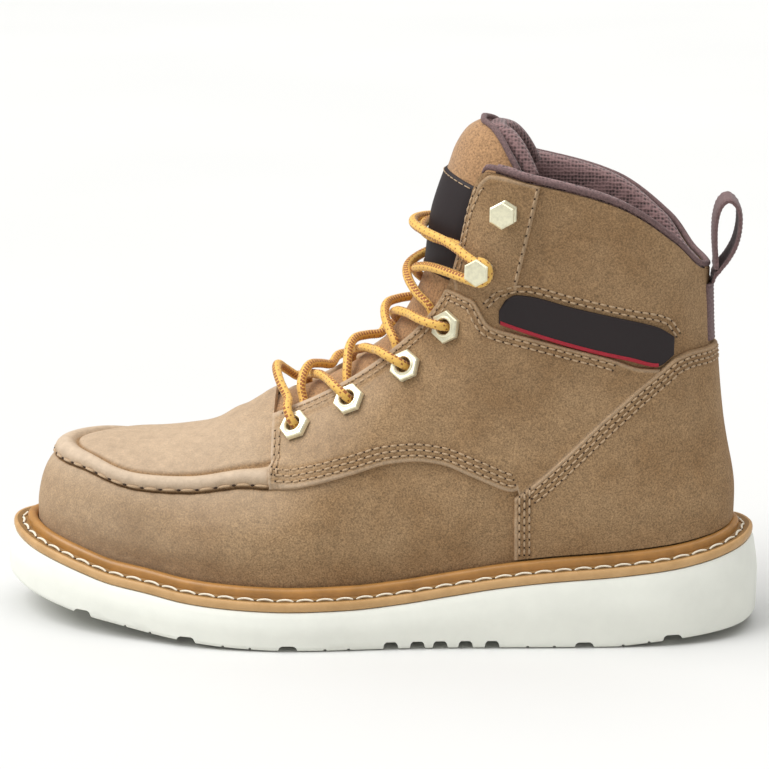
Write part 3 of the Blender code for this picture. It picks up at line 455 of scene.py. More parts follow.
def meridians(t):
    """Origin, direction outward, knots (reach, height), foot position and freedom of each meridian."""
    t = np.atleast_1d(np.asarray(t, float)) % 2.0
    foot = rim(t, FOOT_INSET)
    other = rim(2.0 - t, FOOT_INSET)
    foot_x = 0.5 * (foot[:, 0] + other[:, 0])
    x = np.clip(foot_x, TOE_FAN, HEEL_FAN)
    origin = np.stack([x, spine_y(x)], axis=1)
    reach = np.hypot(*(foot - origin).T)
    outward = (foot - origin) / reach[:, None]
    near = np.where((t <= 1.0)[:, None], foot, other)
    lateral = np.hypot(*(near - origin).T)
    values = [f(foot_x / SOLE_LENGTH) for f in SECTION_AT]
    low_w, low_h, mid_w, mid_h, high_w, high_h, edge_w, edge, crown = values
    base = sole_top(foot[:, 0]) + GAP
    top = edge * SHAFT_HEIGHT
    rise = top - base
    knots = np.stack([
        np.stack([reach, base], axis=1),
        np.stack([reach, base + WELT_THICKNESS + BEAD_HEIGHT + GAP], axis=1),
        np.stack([reach * low_w, base + rise * low_h], axis=1),
        np.stack([0.5 * (reach + lateral) * mid_w, base + rise * mid_h], axis=1),
        np.stack([lateral * high_w, base + rise * high_h], axis=1),
        np.stack([lateral * edge_w, top], axis=1),
        np.stack([0.0 * reach, crown * SHAFT_HEIGHT], axis=1),
    ], axis=1)
    free = np.clip((foot_x - THROAT_FRONT) / (HEEL_FAN - THROAT_FRONT) * 2.7, 0.0, 1.0)
    return origin, outward, knots, foot_x, free


def along_meridians(found, level):
    """Points at levels (one row of levels for each meridian)."""
    origin, outward, knots, foot_x, free = found
    step = np.diff(knots, axis=1)
    chord = np.hypot(step[..., 0], step[..., 1])
    way = step / chord[..., None]
    slopes = np.zeros_like(knots)
    before = chord[:, :-1, None]
    after = chord[:, 1:, None]
    slopes[:, 1:-1] = (way[:, :-1] * after + way[:, 1:] * before) / (before + after)
    slopes[:, 0] = way[:, 0]
    slopes[:, 1, 0] *= 0.3
    slopes[:, -1] = (-1.0, 0.0)
    slopes[:, -2] = (1.0 - free[:, None]) * slopes[:, -2] + free[:, None] * way[:, -2]
    level = np.clip(level, 0.0, CROWN)
    i = np.minimum(level.astype(int), 5)
    rows = np.arange(len(knots))[:, None]
    length = chord[rows, i][..., None]
    a, b, c, d = curve_weights((level - i)[..., None])
    flat = a * knots[rows, i] + c * knots[rows, i + 1]
    flat = flat + (b * slopes[rows, i] + d * slopes[rows, i + 1]) * length
    xy = origin[:, None, :] + outward[:, None, :] * flat[..., :1]
    return np.concatenate([xy, flat[..., 1:]], axis=2)


def unit(v):
    return v / np.maximum(np.linalg.norm(v, axis=-1, keepdims=True), 1e-12)


def on_upper(t, level, offset=0.0, shaped=True, turn=0.004):
    """Points and normals on the upper: t is a list, level has a row for each t."""
    t = np.atleast_1d(np.asarray(t, float))
    level = np.asarray(level, float).reshape(len(t), -1)
    found = meridians(t)
    point = along_meridians(found, level)
    around = along_meridians(meridians(t + turn), level) - along_meridians(meridians(t - turn), level)
    high = np.where(np.abs(level - EDGE) < 1e-6, level, np.minimum(level + 0.05, CROWN))
    up = along_meridians(found, high) - along_meridians(found, np.maximum(level - 0.05, 0.0))
    normal = unit(np.cross(up, around))
    foot_x = found[3][:, None] + 0.0 * level
    lift = np.asarray(offset, float) + 0.0 * level
    if shaped:
        fade = ridge_fade(foot_x)
        share = np.clip(level - 3.0, 0.0, 1.0)
        lift = lift + RIDGE_HEIGHT * fade * np.sin(math.pi * share) ** 0.6
        lift = lift - fade * seam_depth(level)
        lift = lift - crease_depth(point)
    return point + normal * lift[..., None], normal


def seam_depth(level):
    """Grooves beside the raised toe seam: under its thread and where the plug meets it."""
    under = 0.0008 * np.exp(-((level - 2.985) / 0.022) ** 2)
    inside = 0.0012 * np.exp(-((level - 4.07) / 0.055) ** 2)
    dish = 0.0006 * np.exp(-((level - 4.25) / 0.25) ** 2)
    return under + inside + dish


def ridge_fade(foot_x):
    return np.clip((THROAT_FRONT + 2.5 * RIDGE_HEIGHT - foot_x) / (3 * RIDGE_HEIGHT), 0.0, 1.0)


def painted_nap_light(normal, along, height):
    """Painted light and shade on the nap: lighter where it faces up and round the toe, a little darker up the
    shaft.
    """
    # Painted shade up the shaft, painted light round the toe's sides and on upward faces
    up = np.clip((height - 0.065) / 0.06, 0.0, 1.0)
    toe = np.clip((-0.035 - along) / 0.07, 0.0, 1.0)
    flat = np.clip((normal[..., 2] - 0.28) / 0.6, 0.0, 1.0)
    return 0.62 * flat + 0.30 * toe * (1.0 - flat) - 0.14 * up


def crease_depth(point):
    """How far the soft creases sink the wall at each point."""
    depth = np.zeros(point.shape[:-1])
    for x, z, angle, length, width, deep in CREASES:
        turn = math.radians(angle)
        along = (point[..., 0] - x) * math.cos(turn) + (point[..., 2] - z) * math.sin(turn)
        across = (point[..., 2] - z) * math.cos(turn) - (point[..., 0] - x) * math.sin(turn)
        depth += deep * np.exp(-(along / length) ** 2 - (across / width) ** 2)
    return depth


STATION_T = np.linspace(0.0, 1.0, 1201)
STATION_X = meridians(STATION_T)[3]
LEVEL_STEPS = np.linspace(0.0, EDGE, 161)


def station(foot_x, side):
    t = np.interp(-np.asarray(foot_x, float), -STATION_X, STATION_T)
    return t if side < 0 else -t


def foot_of(t):
    return np.interp(np.abs(t), STATION_T, STATION_X)


def level_at(t, height):
    """Level of the wall at a height, for lists of t and heights."""
    t = np.atleast_1d(np.asarray(t, float))
    height = np.broadcast_to(np.asarray(height, float), t.shape)
    heights = along_meridians(meridians(t), np.tile(LEVEL_STEPS, (len(t), 1)))[..., 2]
    return np.array([np.interp(h, row, LEVEL_STEPS) for h, row in zip(height, heights)])


def grid(rows, columns, wrap_rows=False, wrap_columns=False):
    i = np.arange(rows if wrap_rows else rows - 1)[:, None]
    j = np.arange(columns if wrap_columns else columns - 1)[None, :]
    next_i = (i + 1) % rows
    next_j = (j + 1) % columns
    corners = [i * columns + j, i * columns + next_j, next_i * columns + next_j, next_i * columns + j]
    return np.stack(np.broadcast_arrays(*corners), axis=-1).reshape(-1, 4)


def make_piece(name, points, faces, looks, replaces=(), slot=None, sharp=None, picks=None, rub_and_painted_light=None):
    """One mesh object that rides on the boot; picks gives each face its look, rub_and_painted_light pales
    each point where the nap is rubbed or painted light falls and darkens it with painted shade.
    """
    mesh = bpy.data.meshes.new(name)
    points = np.asarray(points, float).reshape(-1, 3)
    mesh.from_pydata(points.tolist(), [], [tuple(int(k) for k in f) for f in faces])
    for look in looks:
        mesh.materials.append(look)
    if picks is not None:
        mesh.polygons.foreach_set("material_index", np.asarray(picks, np.int32))
    # Per-point attribute: rubbed nap, and painted light and shade
    if rub_and_painted_light is not None:
        layer = mesh.attributes.new("rub_and_painted_light", "FLOAT", "POINT")
        layer.data.foreach_set("value", np.asarray(rub_and_painted_light, np.float32))
    work = bmesh.new()
    work.from_mesh(mesh)
    bmesh.ops.remove_doubles(work, verts=work.verts, dist=1e-7)
    bmesh.ops.recalc_face_normals(work, faces=work.faces)
    work.to_mesh(mesh)
    work.free()
    mesh.shade_smooth()
    if sharp is not None:
        mesh.set_sharp_from_angle(angle=math.radians(sharp))
    item = bpy.data.objects.new(name, mesh)
    bpy.context.scene.collection.objects.link(item)
    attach(item, "root")
    if replaces:
        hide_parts(*replaces)
    return item


def shell(outer, inner, faces):
    """A closed wall between two point sets of one layout."""
    count = len(outer)
    faces = [tuple(int(k) for k in f) for f in faces]
    edges = {}
    for face in faces:
        for a, b in zip(face, face[1:] + face[:1]):
            edges[(a, b)] = True
    closed = faces + [tuple(k + count for k in reversed(f)) for f in faces]
    closed += [(b, a, a + count, b + count) for a, b in edges if (b, a) not in edges]
    return np.concatenate([outer, inner]), closed


def curve_through(points, spacing):
    """Evenly spaced points on a smooth curve through a few points."""
    points = np.asarray(points, float)
    chord = np.append(0.0, np.cumsum(np.linalg.norm(np.diff(points, axis=0), axis=1) ** 0.5))
    padded = np.concatenate([[2 * points[0] - points[1]], points, [2 * points[-1] - points[-2]]])
    knots = np.concatenate([[2 * chord[0] - chord[1]], chord, [2 * chord[-1] - chord[-2]]])
    slopes = (padded[2:] - padded[:-2]) / (knots[2:] - knots[:-2])[:, None]
    at = np.linspace(0.0, chord[-1], 40 * len(points))
    i = np.clip(np.searchsorted(chord, at, side="right") - 1, 0, len(chord) - 2)
    step = (chord[i + 1] - chord[i])[:, None]
    a, b, c, d = curve_weights((at[:, None] - chord[i][:, None]) / step)
    fine = a * points[i] + b * step * slopes[i]
    fine = fine + c * points[i + 1] + d * step * slopes[i + 1]
    run = run_along(fine)
    return at_run(np.linspace(0.0, run[-1], max(3, int(round(run[-1] / spacing)) + 1)), run, fine)


def tube(path, radius, sides):
    """Points and faces of a round cord along a path; its section doesn't twist."""
    path = np.asarray(path, float)
    count = len(path)
    along = unit(np.gradient(path, axis=0))
    across = np.zeros_like(path)
    first = np.cross(along[0], (0.0, 0.0, 1.0))
    if np.linalg.norm(first) < 0.2:
        first = np.cross(along[0], (0.0, 1.0, 0.0))
    across[0] = unit(first)
    for i in range(1, count):
        across[i] = unit(across[i - 1] - along[i] * (across[i - 1] @ along[i]))
    over = np.cross(along, across)
    turn = 2 * math.pi * np.arange(sides) / sides
    radius = np.asarray(radius, float)
    radius = np.broadcast_to(radius[:, None] if radius.ndim == 1 else radius, (count, sides))
    ring = across[:, None] * np.cos(turn)[None, :, None] + over[:, None] * np.sin(turn)[None, :, None]
    points = (path[:, None] + ring * radius[..., None]).reshape(-1, 3)
    faces = [tuple(f) for f in grid(count, sides, False, True)]
    faces.append(tuple(range(sides)))
    faces.append(tuple(range((count - 1) * sides, count * sides)))
    return points, faces


def joined(parts):
    """Several (points, faces) sets as one."""
    points = []
    faces = []
    base = 0
    for some, own in parts:
        points.append(some)
        faces.extend(tuple(int(k) + base for k in f) for f in own)
        base += len(some)
    return np.concatenate(points), faces


def seat(point, normal, up_hint, local):
    """Points given as (across, up, out) set on a surface."""
    out = unit(np.asarray(normal, float))
    across = unit(np.cross(up_hint, out))
    up = np.cross(out, across)
    local = np.asarray(local, float)
    return point + local[:, :1] * across + local[:, 1:2] * up + local[:, 2:] * out


def spot(place, side, offset=0.0):
    """Point and normal of the wall at an eyelet or a hook."""
    t = station(place[0] * SOLE_LENGTH, side)
    point, normal = on_upper([t], level_at([t], place[1] * SHAFT_HEIGHT), offset, False)
    return point[0, 0], normal[0, 0]


def add_node(tree, kind, values=None, links=None, stops=(), **settings):
    """One shader node with its settings, socket values, incoming links and colour stops."""
    made = tree.nodes.new("ShaderNode" + kind)
    for key, value in settings.items():
        setattr(made, key, value)
    for key, value in (values or {}).items():
        made.inputs[key].default_value = value
    for key, source in (links or {}).items():
        tree.links.new(source, made.inputs[key])
    if stops:
        elements = made.color_ramp.elements
        while len(elements) < len(stops):
            elements.new(0.5)
        for element, (at, colour) in zip(elements, stops):
            element.position = at
            element.color = (*colour, 1.0)
    return made


def per(millimetres):
    """Pattern scale that gives features of this size."""
    return 1000.0 / millimetres


def times(colour, amount):
    return tuple(c * amount for c in colour)


def start_material(name, **constants):
    """A named material with object coordinates and constants on the shader's own sockets."""
    made = bpy.data.materials.new(name)
    made.use_nodes = True
    tree = made.node_tree
    shader = tree.nodes["Principled BSDF"]
    for key, value in constants.items():
        shader.inputs[key.replace("_", " ")].default_value = value
    place = add_node(tree, "TexCoord").outputs["Object"]
    return made, tree, shader, place


def patterned(name, pattern, values, stops, relief, rough=None, output="Fac", **constants):
    """A material whose one pattern tints it, raises it and, where given, varies its roughness."""
    made, tree, shader, place = start_material(name, **constants)
    texture = add_node(tree, pattern, values, {"Vector": place}).outputs[output]
    colour = add_node(tree, "ValToRGB", links={"Fac": texture}, stops=stops)
    tree.links.new(colour.outputs["Color"], shader.inputs["Base Color"])
    bump = add_node(tree, "Bump", {"Strength": relief[0], "Distance": relief[1]}, {"Height": texture})
    tree.links.new(bump.outputs["Normal"], shader.inputs["Normal"])
    if rough is not None:
        level = add_node(tree, "MapRange", {"To Min": rough[0], "To Max": rough[1]}, {"Value": texture})
        tree.links.new(level.outputs["Result"], shader.inputs["Roughness"])
    return made


def nubuck(name, base, light, dark, pale, deep):
    # Nubuck: grain side of cowhide sanded to a short nap and oiled. Matt with a faint bloom,
    # softly cloudy where the nap lies over, paler where rubbed and with painted light on upward faces and
    # round the toe, and darker with painted shade in its grooves, along its seams and up the shaft.
    made, tree, shader, place = start_material(name, Sheen_Weight=0.06, Sheen_Roughness=0.5, IOR=1.45)
    shader.inputs["Sheen Tint"].default_value = (*light, 1.0)
    spread_nap = {"Scale": per(26), "Detail": 5.0, "Roughness": 0.6}
    cloud = add_node(tree, "TexNoise", spread_nap, {"Vector": place})
    # The nap's own fleck is finer than this; it is drawn 0.7 mm wide so that it shows
    fine_nap = {"Scale": per(0.7), "Detail": 3.0, "Roughness": 0.8}
    grain = add_node(tree, "TexNoise", fine_nap, {"Vector": place})
    hand_marks = {"Scale": per(4.2), "Detail": 4.0, "Roughness": 0.7}
    patch = add_node(tree, "TexNoise", hand_marks, {"Vector": place})
    clouds = add_node(tree, "ValToRGB", links={"Fac": cloud.outputs["Fac"]},
                      stops=((0.26, dark), (0.52, base), (0.78, light)))
    speckle = add_node(tree, "ValToRGB", links={"Fac": grain.outputs["Fac"]},
                       stops=((0.37, (0.40,) * 3), (0.64, (1.0,) * 3)))
    patches = add_node(tree, "ValToRGB", links={"Fac": patch.outputs["Fac"]},
                       stops=((0.32, (0.78,) * 3), (0.68, (1.0,) * 3)))
    fleck = add_node(tree, "Mix", {0: 0.9}, {6: clouds.outputs["Color"], 7: speckle.outputs["Color"]},
                     data_type="RGBA", blend_type="MULTIPLY")
    # The rub_and_painted_light attribute: above zero it mixes in the pale colour for rubbed nap and for
    # painted light, below zero the deep colour as painted shade
    rub_light_shade = add_node(tree, "Attribute", attribute_name="rub_and_painted_light").outputs["Fac"]
    rub_and_light = add_node(tree, "MapRange", links={"Value": rub_light_shade})
    sunk = add_node(tree, "MapRange", {"From Max": -1.0}, {"Value": rub_light_shade})
    paler = add_node(tree, "Mix", {7: (*pale, 1.0)}, {0: rub_and_light.outputs["Result"], 6: fleck.outputs[2]},
                     data_type="RGBA")
    deeper = add_node(tree, "Mix", {7: (*deep, 1.0)}, {0: sunk.outputs["Result"], 6: paler.outputs[2]},
                      data_type="RGBA")
    colour = add_node(tree, "Mix", {0: 0.85}, {6: deeper.outputs[2], 7: patches.outputs["Color"]},
                      data_type="RGBA", blend_type="MULTIPLY")
    tree.links.new(colour.outputs[2], shader.inputs["Base Color"])
    rough = add_node(tree, "MapRange", {"To Min": 0.80, "To Max": 0.96}, {"Value": cloud.outputs["Fac"]})
    tree.links.new(rough.outputs["Result"], shader.inputs["Roughness"])
    fine = add_node(tree, "Bump", {"Strength": 0.5, "Distance": 0.0003}, {"Height": grain.outputs["Fac"]})
    soft = add_node(tree, "Bump", {"Strength": 0.4, "Distance": 0.0012},
                    {"Height": patch.outputs["Fac"], "Normal": fine.outputs["Normal"]})
    tree.links.new(soft.outputs["Normal"], shader.inputs["Normal"])
    return made


def colour(name, description, code):
    """A colour that a user would change, from its sRGB hex value."""
    return FloatVectorProperty(name=name, description=description, size=3, subtype="COLOR", min=0.0, max=1.0,
                               default=linear(code))


def length(name, description, default, smallest, largest):
    """A length that a user would change, in metres."""
    return FloatProperty(name=name, description=description, default=default, min=smallest, max=largest,
                         unit="LENGTH")


class BootColours(bpy.types.PropertyGroup):
    """Colours of the boot's finishes."""

    nubuck: colour("Nubuck", "Main leather", "BE9A70")
    nubuck_light: colour("Nubuck light", "Rubbed nap", "CBA87E")
    nubuck_dark: colour("Nubuck dark", "Nap lying away", "AC865B")
    # Paler colour for rubbed nap and painted light on upward faces; darker colour for painted shade in
    # grooves, along seams and up the shaft
    nubuck_rub_and_light: colour("Nubuck rubbed", "Edges and upward faces", "CFB9A0")
    nubuck_painted_shade: colour("Nubuck grooves", "Grooves and seam lines", "6E4C2C")
    suede: colour("Tongue suede", "Front of the tongue", "A9825B")
    plum: colour("Plum cloth", "Mesh, piping and webbing", "664F4E")
    badge: colour("Badge", "Plain side badge and tongue patch", "1E1113")
    trim: colour("Badge line", "Red line under the badge", "A80F28")
    rubber: colour("Sole", "Off-white wedge", "F1F2E8")
    welt: colour("Welt", "Honey welt", "BC8746")
    brass: colour("Fittings", "Pale brass", "F6F1D2")
    lace: colour("Lace", "Yellow yarn", "F4C25E")
    lace_mark: colour("Lace mark", "Orange-brown yarn", "A8602A")
    thread: colour("Thread", "Tan seams", "C0A27E")
    cream: colour("Welt thread", "Cream welt seam", "F6EDD8")


class BootSizes(bpy.types.PropertyGroup):
    """Sizes of the boot's surface detail."""

    seam_pitch: length("Seam pitch", "Length of one stitch of the panels", 0.0034, 0.001, 0.01)
    seam_thread: length("Seam thread", "Thickness of the panels' thread", 0.0009, 0.0002, 0.002)
    welt_pitch: length("Welt pitch", "Length of one stitch of the welt", 0.0078, 0.002, 0.02)
    moc_pitch: length("Toe seam pitch", "Length of one stitch of the raised toe seam", 0.0073, 0.002, 0.02)
    mesh_cell: length("Mesh cell", "Width of one cell of the knitted mesh", 0.0014, 0.0005, 0.005)


FINISHES = {}


def noise(size, detail=3.0):
    return {"Scale": per(size), "Detail": detail, "Roughness": 0.65}


def make_finishes(colours):
    plum = tuple(colours.plum)
    tan = tuple(colours.suede)
    badge = tuple(colours.badge)
    rubber = tuple(colours.rubber)
    welt = tuple(colours.welt)
    FINISHES["nubuck"] = nubuck("nubuck_tan", tuple(colours.nubuck), tuple(colours.nubuck_light),
                                tuple(colours.nubuck_dark), tuple(colours.nubuck_rub_and_light),
                                tuple(colours.nubuck_painted_shade))
    # Split suede: flesh side brushed up. Longer fibres than nubuck, so no shine and a coarse fleck
    FINISHES["suede"] = patterned("suede_tongue", "TexNoise", noise(0.9, 5.0),
                                  ((0.32, times(tan, 0.50)), (0.5, tan), (0.68, times(tan, 1.35))),
                                  (0.7, 0.0004), Roughness=0.97, Sheen_Weight=0.2)
    # Spacer mesh: polyester knitted in small round cells. Paler loops, with painted shade darkening the pits
    # between them
    cell = {"Scale": 1.0 / bpy.context.scene.boot_sizes.mesh_cell, "Randomness": 0.25}
    FINISHES["knit"] = patterned("mesh_plum", "TexVoronoi", cell,
                                 ((0.12, times(plum, 0.22)), (0.34, plum), (0.62, times(plum, 2.0))),
                                 (0.8, 0.0006), None, "Distance", Roughness=0.92, Sheen_Weight=0.25)
    # Polyester webbing: tight weave whose thread ends catch a little light, one thread 0.7 mm wide
    FINISHES["webbing"] = patterned("webbing_plum", "TexNoise", noise(0.7, 2.0),
                                    ((0.35, times(plum, 0.75)), (0.68, times(plum, 1.6))),
                                    (0.6, 0.0002), Roughness=0.8, Sheen_Weight=0.1)
    # Moulded badge film: dense, dark and almost matt
    FINISHES["badge"] = patterned("badge_film", "TexNoise", noise(1.2),
                                  ((0.35, times(badge, 0.8)), (0.68, badge)), (0.2, 0.0001), (0.6, 0.75))
    # Edge line of the badge: the same film, dyed red, with a little more shine
    FINISHES["trim"] = patterned("red_edge_line", "TexNoise", noise(1.2),
                                 ((0.35, times(tuple(colours.trim), 0.8)), (0.68, tuple(colours.trim))),
                                 (0.2, 0.0001), Roughness=0.5)
    # Moulded foam rubber: an even satin skin with faint flow marks
    FINISHES["rubber"] = patterned("foam_rubber", "TexNoise", noise(22, 12.0),
                                   ((0.30, times(rubber, 0.93)), (0.62, rubber)), (0.2, 0.0004),
                                   (0.5, 0.62))
    # Welt leather, cut, dyed honey and waxed: a low sheen on the rolled bead, paler where it is cut
    FINISHES["welt"] = patterned("waxed_welt", "TexNoise", noise(9, 8.0),
                                 ((0.32, times(welt, 0.74)), (0.66, welt)), (0.25, 0.0003), (0.36, 0.5),
                                 Coat_Weight=0.1, Coat_Roughness=0.35)
    # Cut edge of the welt: skived and trimmed after the sole was joined, so paler and drier
    FINISHES["welt_edge"] = patterned("welt_cut_edge", "TexNoise", noise(9, 8.0),
                                      ((0.32, linear("BC935F")), (0.66, linear("CFA672"))),
                                      (0.3, 0.0003), (0.45, 0.6))
    # Face under the thread: pressed and shaded by the bead, so browner
    FINISHES["welt_top"] = patterned("welt_top_face", "TexNoise", noise(9, 8.0),
                                     ((0.32, linear("836133")), (0.66, linear("9A7440"))),
                                     (0.3, 0.0003), (0.45, 0.6))
    # Pale brass plate, stamped and tumbled: soft and faintly clouded
    shine = tuple(colours.brass)
    FINISHES["brass"] = patterned("pale_brass", "TexNoise", noise(2.0, 4.0),
                                  ((0.30, times(shine, 0.82)), (0.60, shine)), (0.2, 0.0001), (0.26, 0.42),
                                  Metallic=0.6)
    # Spun polyester yarns: soft and slightly glossy. Their fibres are finer and are drawn 0.3 mm wide
    for key, name, colour, shade in (("lace", "lace_yellow", colours.lace, 0.75),
                                     ("lace_mark", "lace_brown", colours.lace_mark, 0.7),
                                     ("thread", "thread_tan", colours.thread, 0.7),
                                     ("cream", "thread_cream", colours.cream, 0.86)):
        FINISHES[key] = patterned(name, "TexNoise", noise(0.3, 2.0),
                                  ((0.30, times(tuple(colour), shade)), (0.62, tuple(colour))),
                                  (0.5, 0.0002), Roughness=0.62, Sheen_Weight=0.2)
    # Needle holes: shaded, compressed leather
    FINISHES["hole"] = patterned("needle_hole", "TexNoise", noise(0.6),
                                 ((0.3, linear("2E1E13")), (0.7, linear("3E2A1C"))), (0.2, 0.0001),
                                 Roughness=0.9)
    # Linings: dark plain-woven cloth, matt. The weave is finer and is drawn 0.9 mm wide
    FINISHES["board"] = patterned("insole_cloth", "TexNoise", noise(0.9, 2.0),
                                  ((0.35, linear("3A3432")), (0.68, linear("5A504C"))), (0.6, 0.0002),
                                  Roughness=0.85)
    FINISHES["lining"] = patterned("lining_cloth", "TexNoise", noise(0.9, 2.0),
                                   ((0.35, linear("453636")), (0.68, linear("5E4C4B"))), (0.6, 0.0002),
                                   Roughness=0.85)


def build_upper():
    throat = float(station(THROAT_FRONT, -1))
    back = np.linspace(0.0, station(0.05, -1), 50)
    shaft = np.linspace(back[-1], throat, 60)[1:]
    toe = np.linspace(throat, 1.0, 80)[1:]
    half = np.concatenate([back, shaft, toe])
    ring = np.concatenate([half, 2.0 - half[-2:0:-1]])
    low = np.concatenate([np.linspace(0, 1, 4), np.linspace(1, 2.88, 20)[1:], np.linspace(2.88, 3, 8)[1:],
                          np.linspace(3, 4, 26)[1:], np.linspace(4, 4.3, 13)[1:], np.linspace(4.3, 5, 9)[1:]])
    levels = np.concatenate([low, np.linspace(5, 6, 13)[1:]])
    share = np.minimum(ring, 2.0 - ring)
    crowned = share >= throat - 1e-9
    table = np.tile(levels, (len(ring), 1))
    outer, normal = on_upper(ring, table, 0.0, True)
    bare = on_upper(ring, table, 0.0, False)[0]
    centre = np.abs(levels - CROWN) < 1e-6
    outer[:, centre] = bare[:, centre]
    normal[:, centre] = unit(normal[:, centre] * (1, 0, 1) + np.array((0, 0, 1e-6)))
    inner = bare - normal * WALL
    fade = ridge_fade(foot_of(np.minimum(ring, 2.0 - ring)))[:, None]
    # Painted light and shade from the nap's facing: lighter up-facing and round the toe, darker up the shaft
    rub_and_painted_light = painted_nap_light(normal, outer[..., 0], outer[..., 2])
    # Rubbed, paler nap along the ridge of the raised toe seam
    rub_and_painted_light = rub_and_painted_light + fade * 0.55 * np.exp(-((levels - 3.5) / 0.36) ** 2)
    # Painted shade in the groove under the toe seam's thread and in the groove inside the ridge
    rub_and_painted_light = rub_and_painted_light - fade * 1.1 * np.exp(-((levels - 2.99) / 0.03) ** 2)
    rub_and_painted_light = rub_and_painted_light - fade * 0.9 * np.exp(-((levels - 4.06) / 0.05) ** 2)
    outer = outer.reshape(-1, 3)
    inner = inner.reshape(-1, 3)
    rub_and_painted_light = np.append(rub_and_painted_light.reshape(-1), np.zeros(len(inner)))
    faces = grid(len(ring), len(levels), True)
    columns = len(levels)
    row = faces // columns
    high = (faces % columns).max(axis=1) > len(low) - 1
    keep = ~high | crowned[row].all(axis=1)
    faces = faces[keep]
    # Both halves meet on the crown line, and round the toe in one point
    partner = np.arange(len(ring))
    partner[len(half):] = 2 * (len(half) - 1) - partner[len(half):]
    partner[foot_of(share) <= TOE_FAN] = len(half) - 1
    row = faces // columns
    on_crown = faces % columns == columns - 1
    faces = np.where(on_crown, partner[row] * columns + columns - 1, faces)
    faces = [tuple(dict.fromkeys(int(k) for k in f)) for f in faces]
    faces = [f for f in faces if len(f) > 2]
    points, closed = shell(outer, inner, faces)
    picks = np.zeros(len(closed), int)
    picks[len(faces):2 * len(faces)] = 1
    used = np.unique(np.concatenate([np.array(f) for f in closed]))
    index = -np.ones(len(points), int)
    index[used] = np.arange(len(used))
    closed = [tuple(index[k] for k in f) for f in closed]
    return make_piece("upper_leather", points[used], closed, [FINISHES["nubuck"], FINISHES["lining"]],
                      ["upper"], "nubuck", 50, picks, rub_and_painted_light[used])


def build_toe_seam():
    """Thread of the raised toe seam: long dashes between deep holes under the ridge."""
    pitch = bpy.context.scene.boot_sizes.moc_pitch
    first = float(station(THROAT_FRONT + 0.001, -1))
    t = np.linspace(first, 2.0 - first, 500)
    level = np.full((len(t), 1), 3.03)
    point, normal = on_upper(t, level, 0.0002)
    point = point[:, 0]
    normal = normal[:, 0]
    run = run_along(point)
    count = int(run[-1] / pitch)
    threads = []
    holes = []
    for k in range(count):
        middle = (k + 0.5) * run[-1] / count
        for share, size, store in ((0.74, 0.00055, threads), (0.20, 0.00045, holes)):
            centre = middle if store is threads else middle + 0.5 * run[-1] / count
            places = centre + np.linspace(-0.5, 0.5, 7) * share * run[-1] / count
            path = at_run(places, run, point)
            away = unit(at_run(places, run, normal))
            bow = 1.0 - np.linspace(-1, 1, 7) ** 2
            lift = bow * 0.0004 if store is threads else bow * 0.0001
            store.append(tube(path + away * lift[:, None], size * (0.3 + 0.7 * np.sqrt(bow)), 7))
    make_piece("toe_seam_thread", *joined(threads), [FINISHES["thread"]])
    make_piece("toe_seam_holes", *joined(holes), [FINISHES["hole"]])


class BootUpper(bpy.types.Operator):
    """Builds the hollow leather upper with its raised toe seam and creases"""

    bl_idname = "boot.upper"
    bl_label = "Upper"

    def execute(self, context):
        build_upper()
        build_toe_seam()
        return {"FINISHED"}


ROW_STEPS = np.array([0.0, 0.0001, 0.0003, 0.0006, 0.0010, 0.0014, 0.0018, 0.0022, 0.0027, 0.0032, 0.0037,
                      0.0043, 0.0049, 0.0055, 0.0061, 0.0068, 0.0075, 0.0083])
END_STEPS = np.array([0.0, 0.0001, 0.0003, 0.0006, 0.0010, 0.0014, 0.0019, 0.0025, 0.0031, 0.0038, 0.0045,
                      0.0053])
EDGE_ROUND = 0.0008
QUARTER_THICKNESS = OVERLAY - 0.0003
COUNTER_THICKNESS = OVERLAY + 0.0004
SEAM_SINK = 0.00022
HOLE_RISE = 0.00012
HOLE_RADIUS = 0.00040
STITCH_SHARE = 0.80

# Distances of the stitch rows from the panels' edges, and where the quarter's rows go under a neighbour
QUARTER_LOW_ROWS = (0.0026, 0.0048, 0.0070)
QUARTER_HIGH_ROWS = (0.0020, 0.0042)
QUARTER_FRONT_ROWS = (0.0018, 0.0038)
QUARTER_LOW_END = 0.059
QUARTER_HIGH_END = 0.096
COUNTER_ROWS = (0.0020, 0.0040, 0.0060)
SHAFT_ROWS = (0.0022, 0.0046)
BADGE_ROWS = (0.0, 0.0021)


def panel_rows(t, low, high):
    """Heights of a panel's rows at each station, close together at both edges."""
    tall = high - low
    scale = np.minimum(1.0, tall / (2.2 * ROW_STEPS[-1]))[:, None]
    steps = ROW_STEPS[None, :] * scale
    middle = np.linspace(0.0, 1.0, 34)[1:-1]
    start = steps[:, -1:]
    span = tall[:, None] - 2 * start
    rows = np.concatenate([steps, start + span * middle, tall[:, None] - steps[:, ::-1]], axis=1)
    return low[:, None] + rows, rows


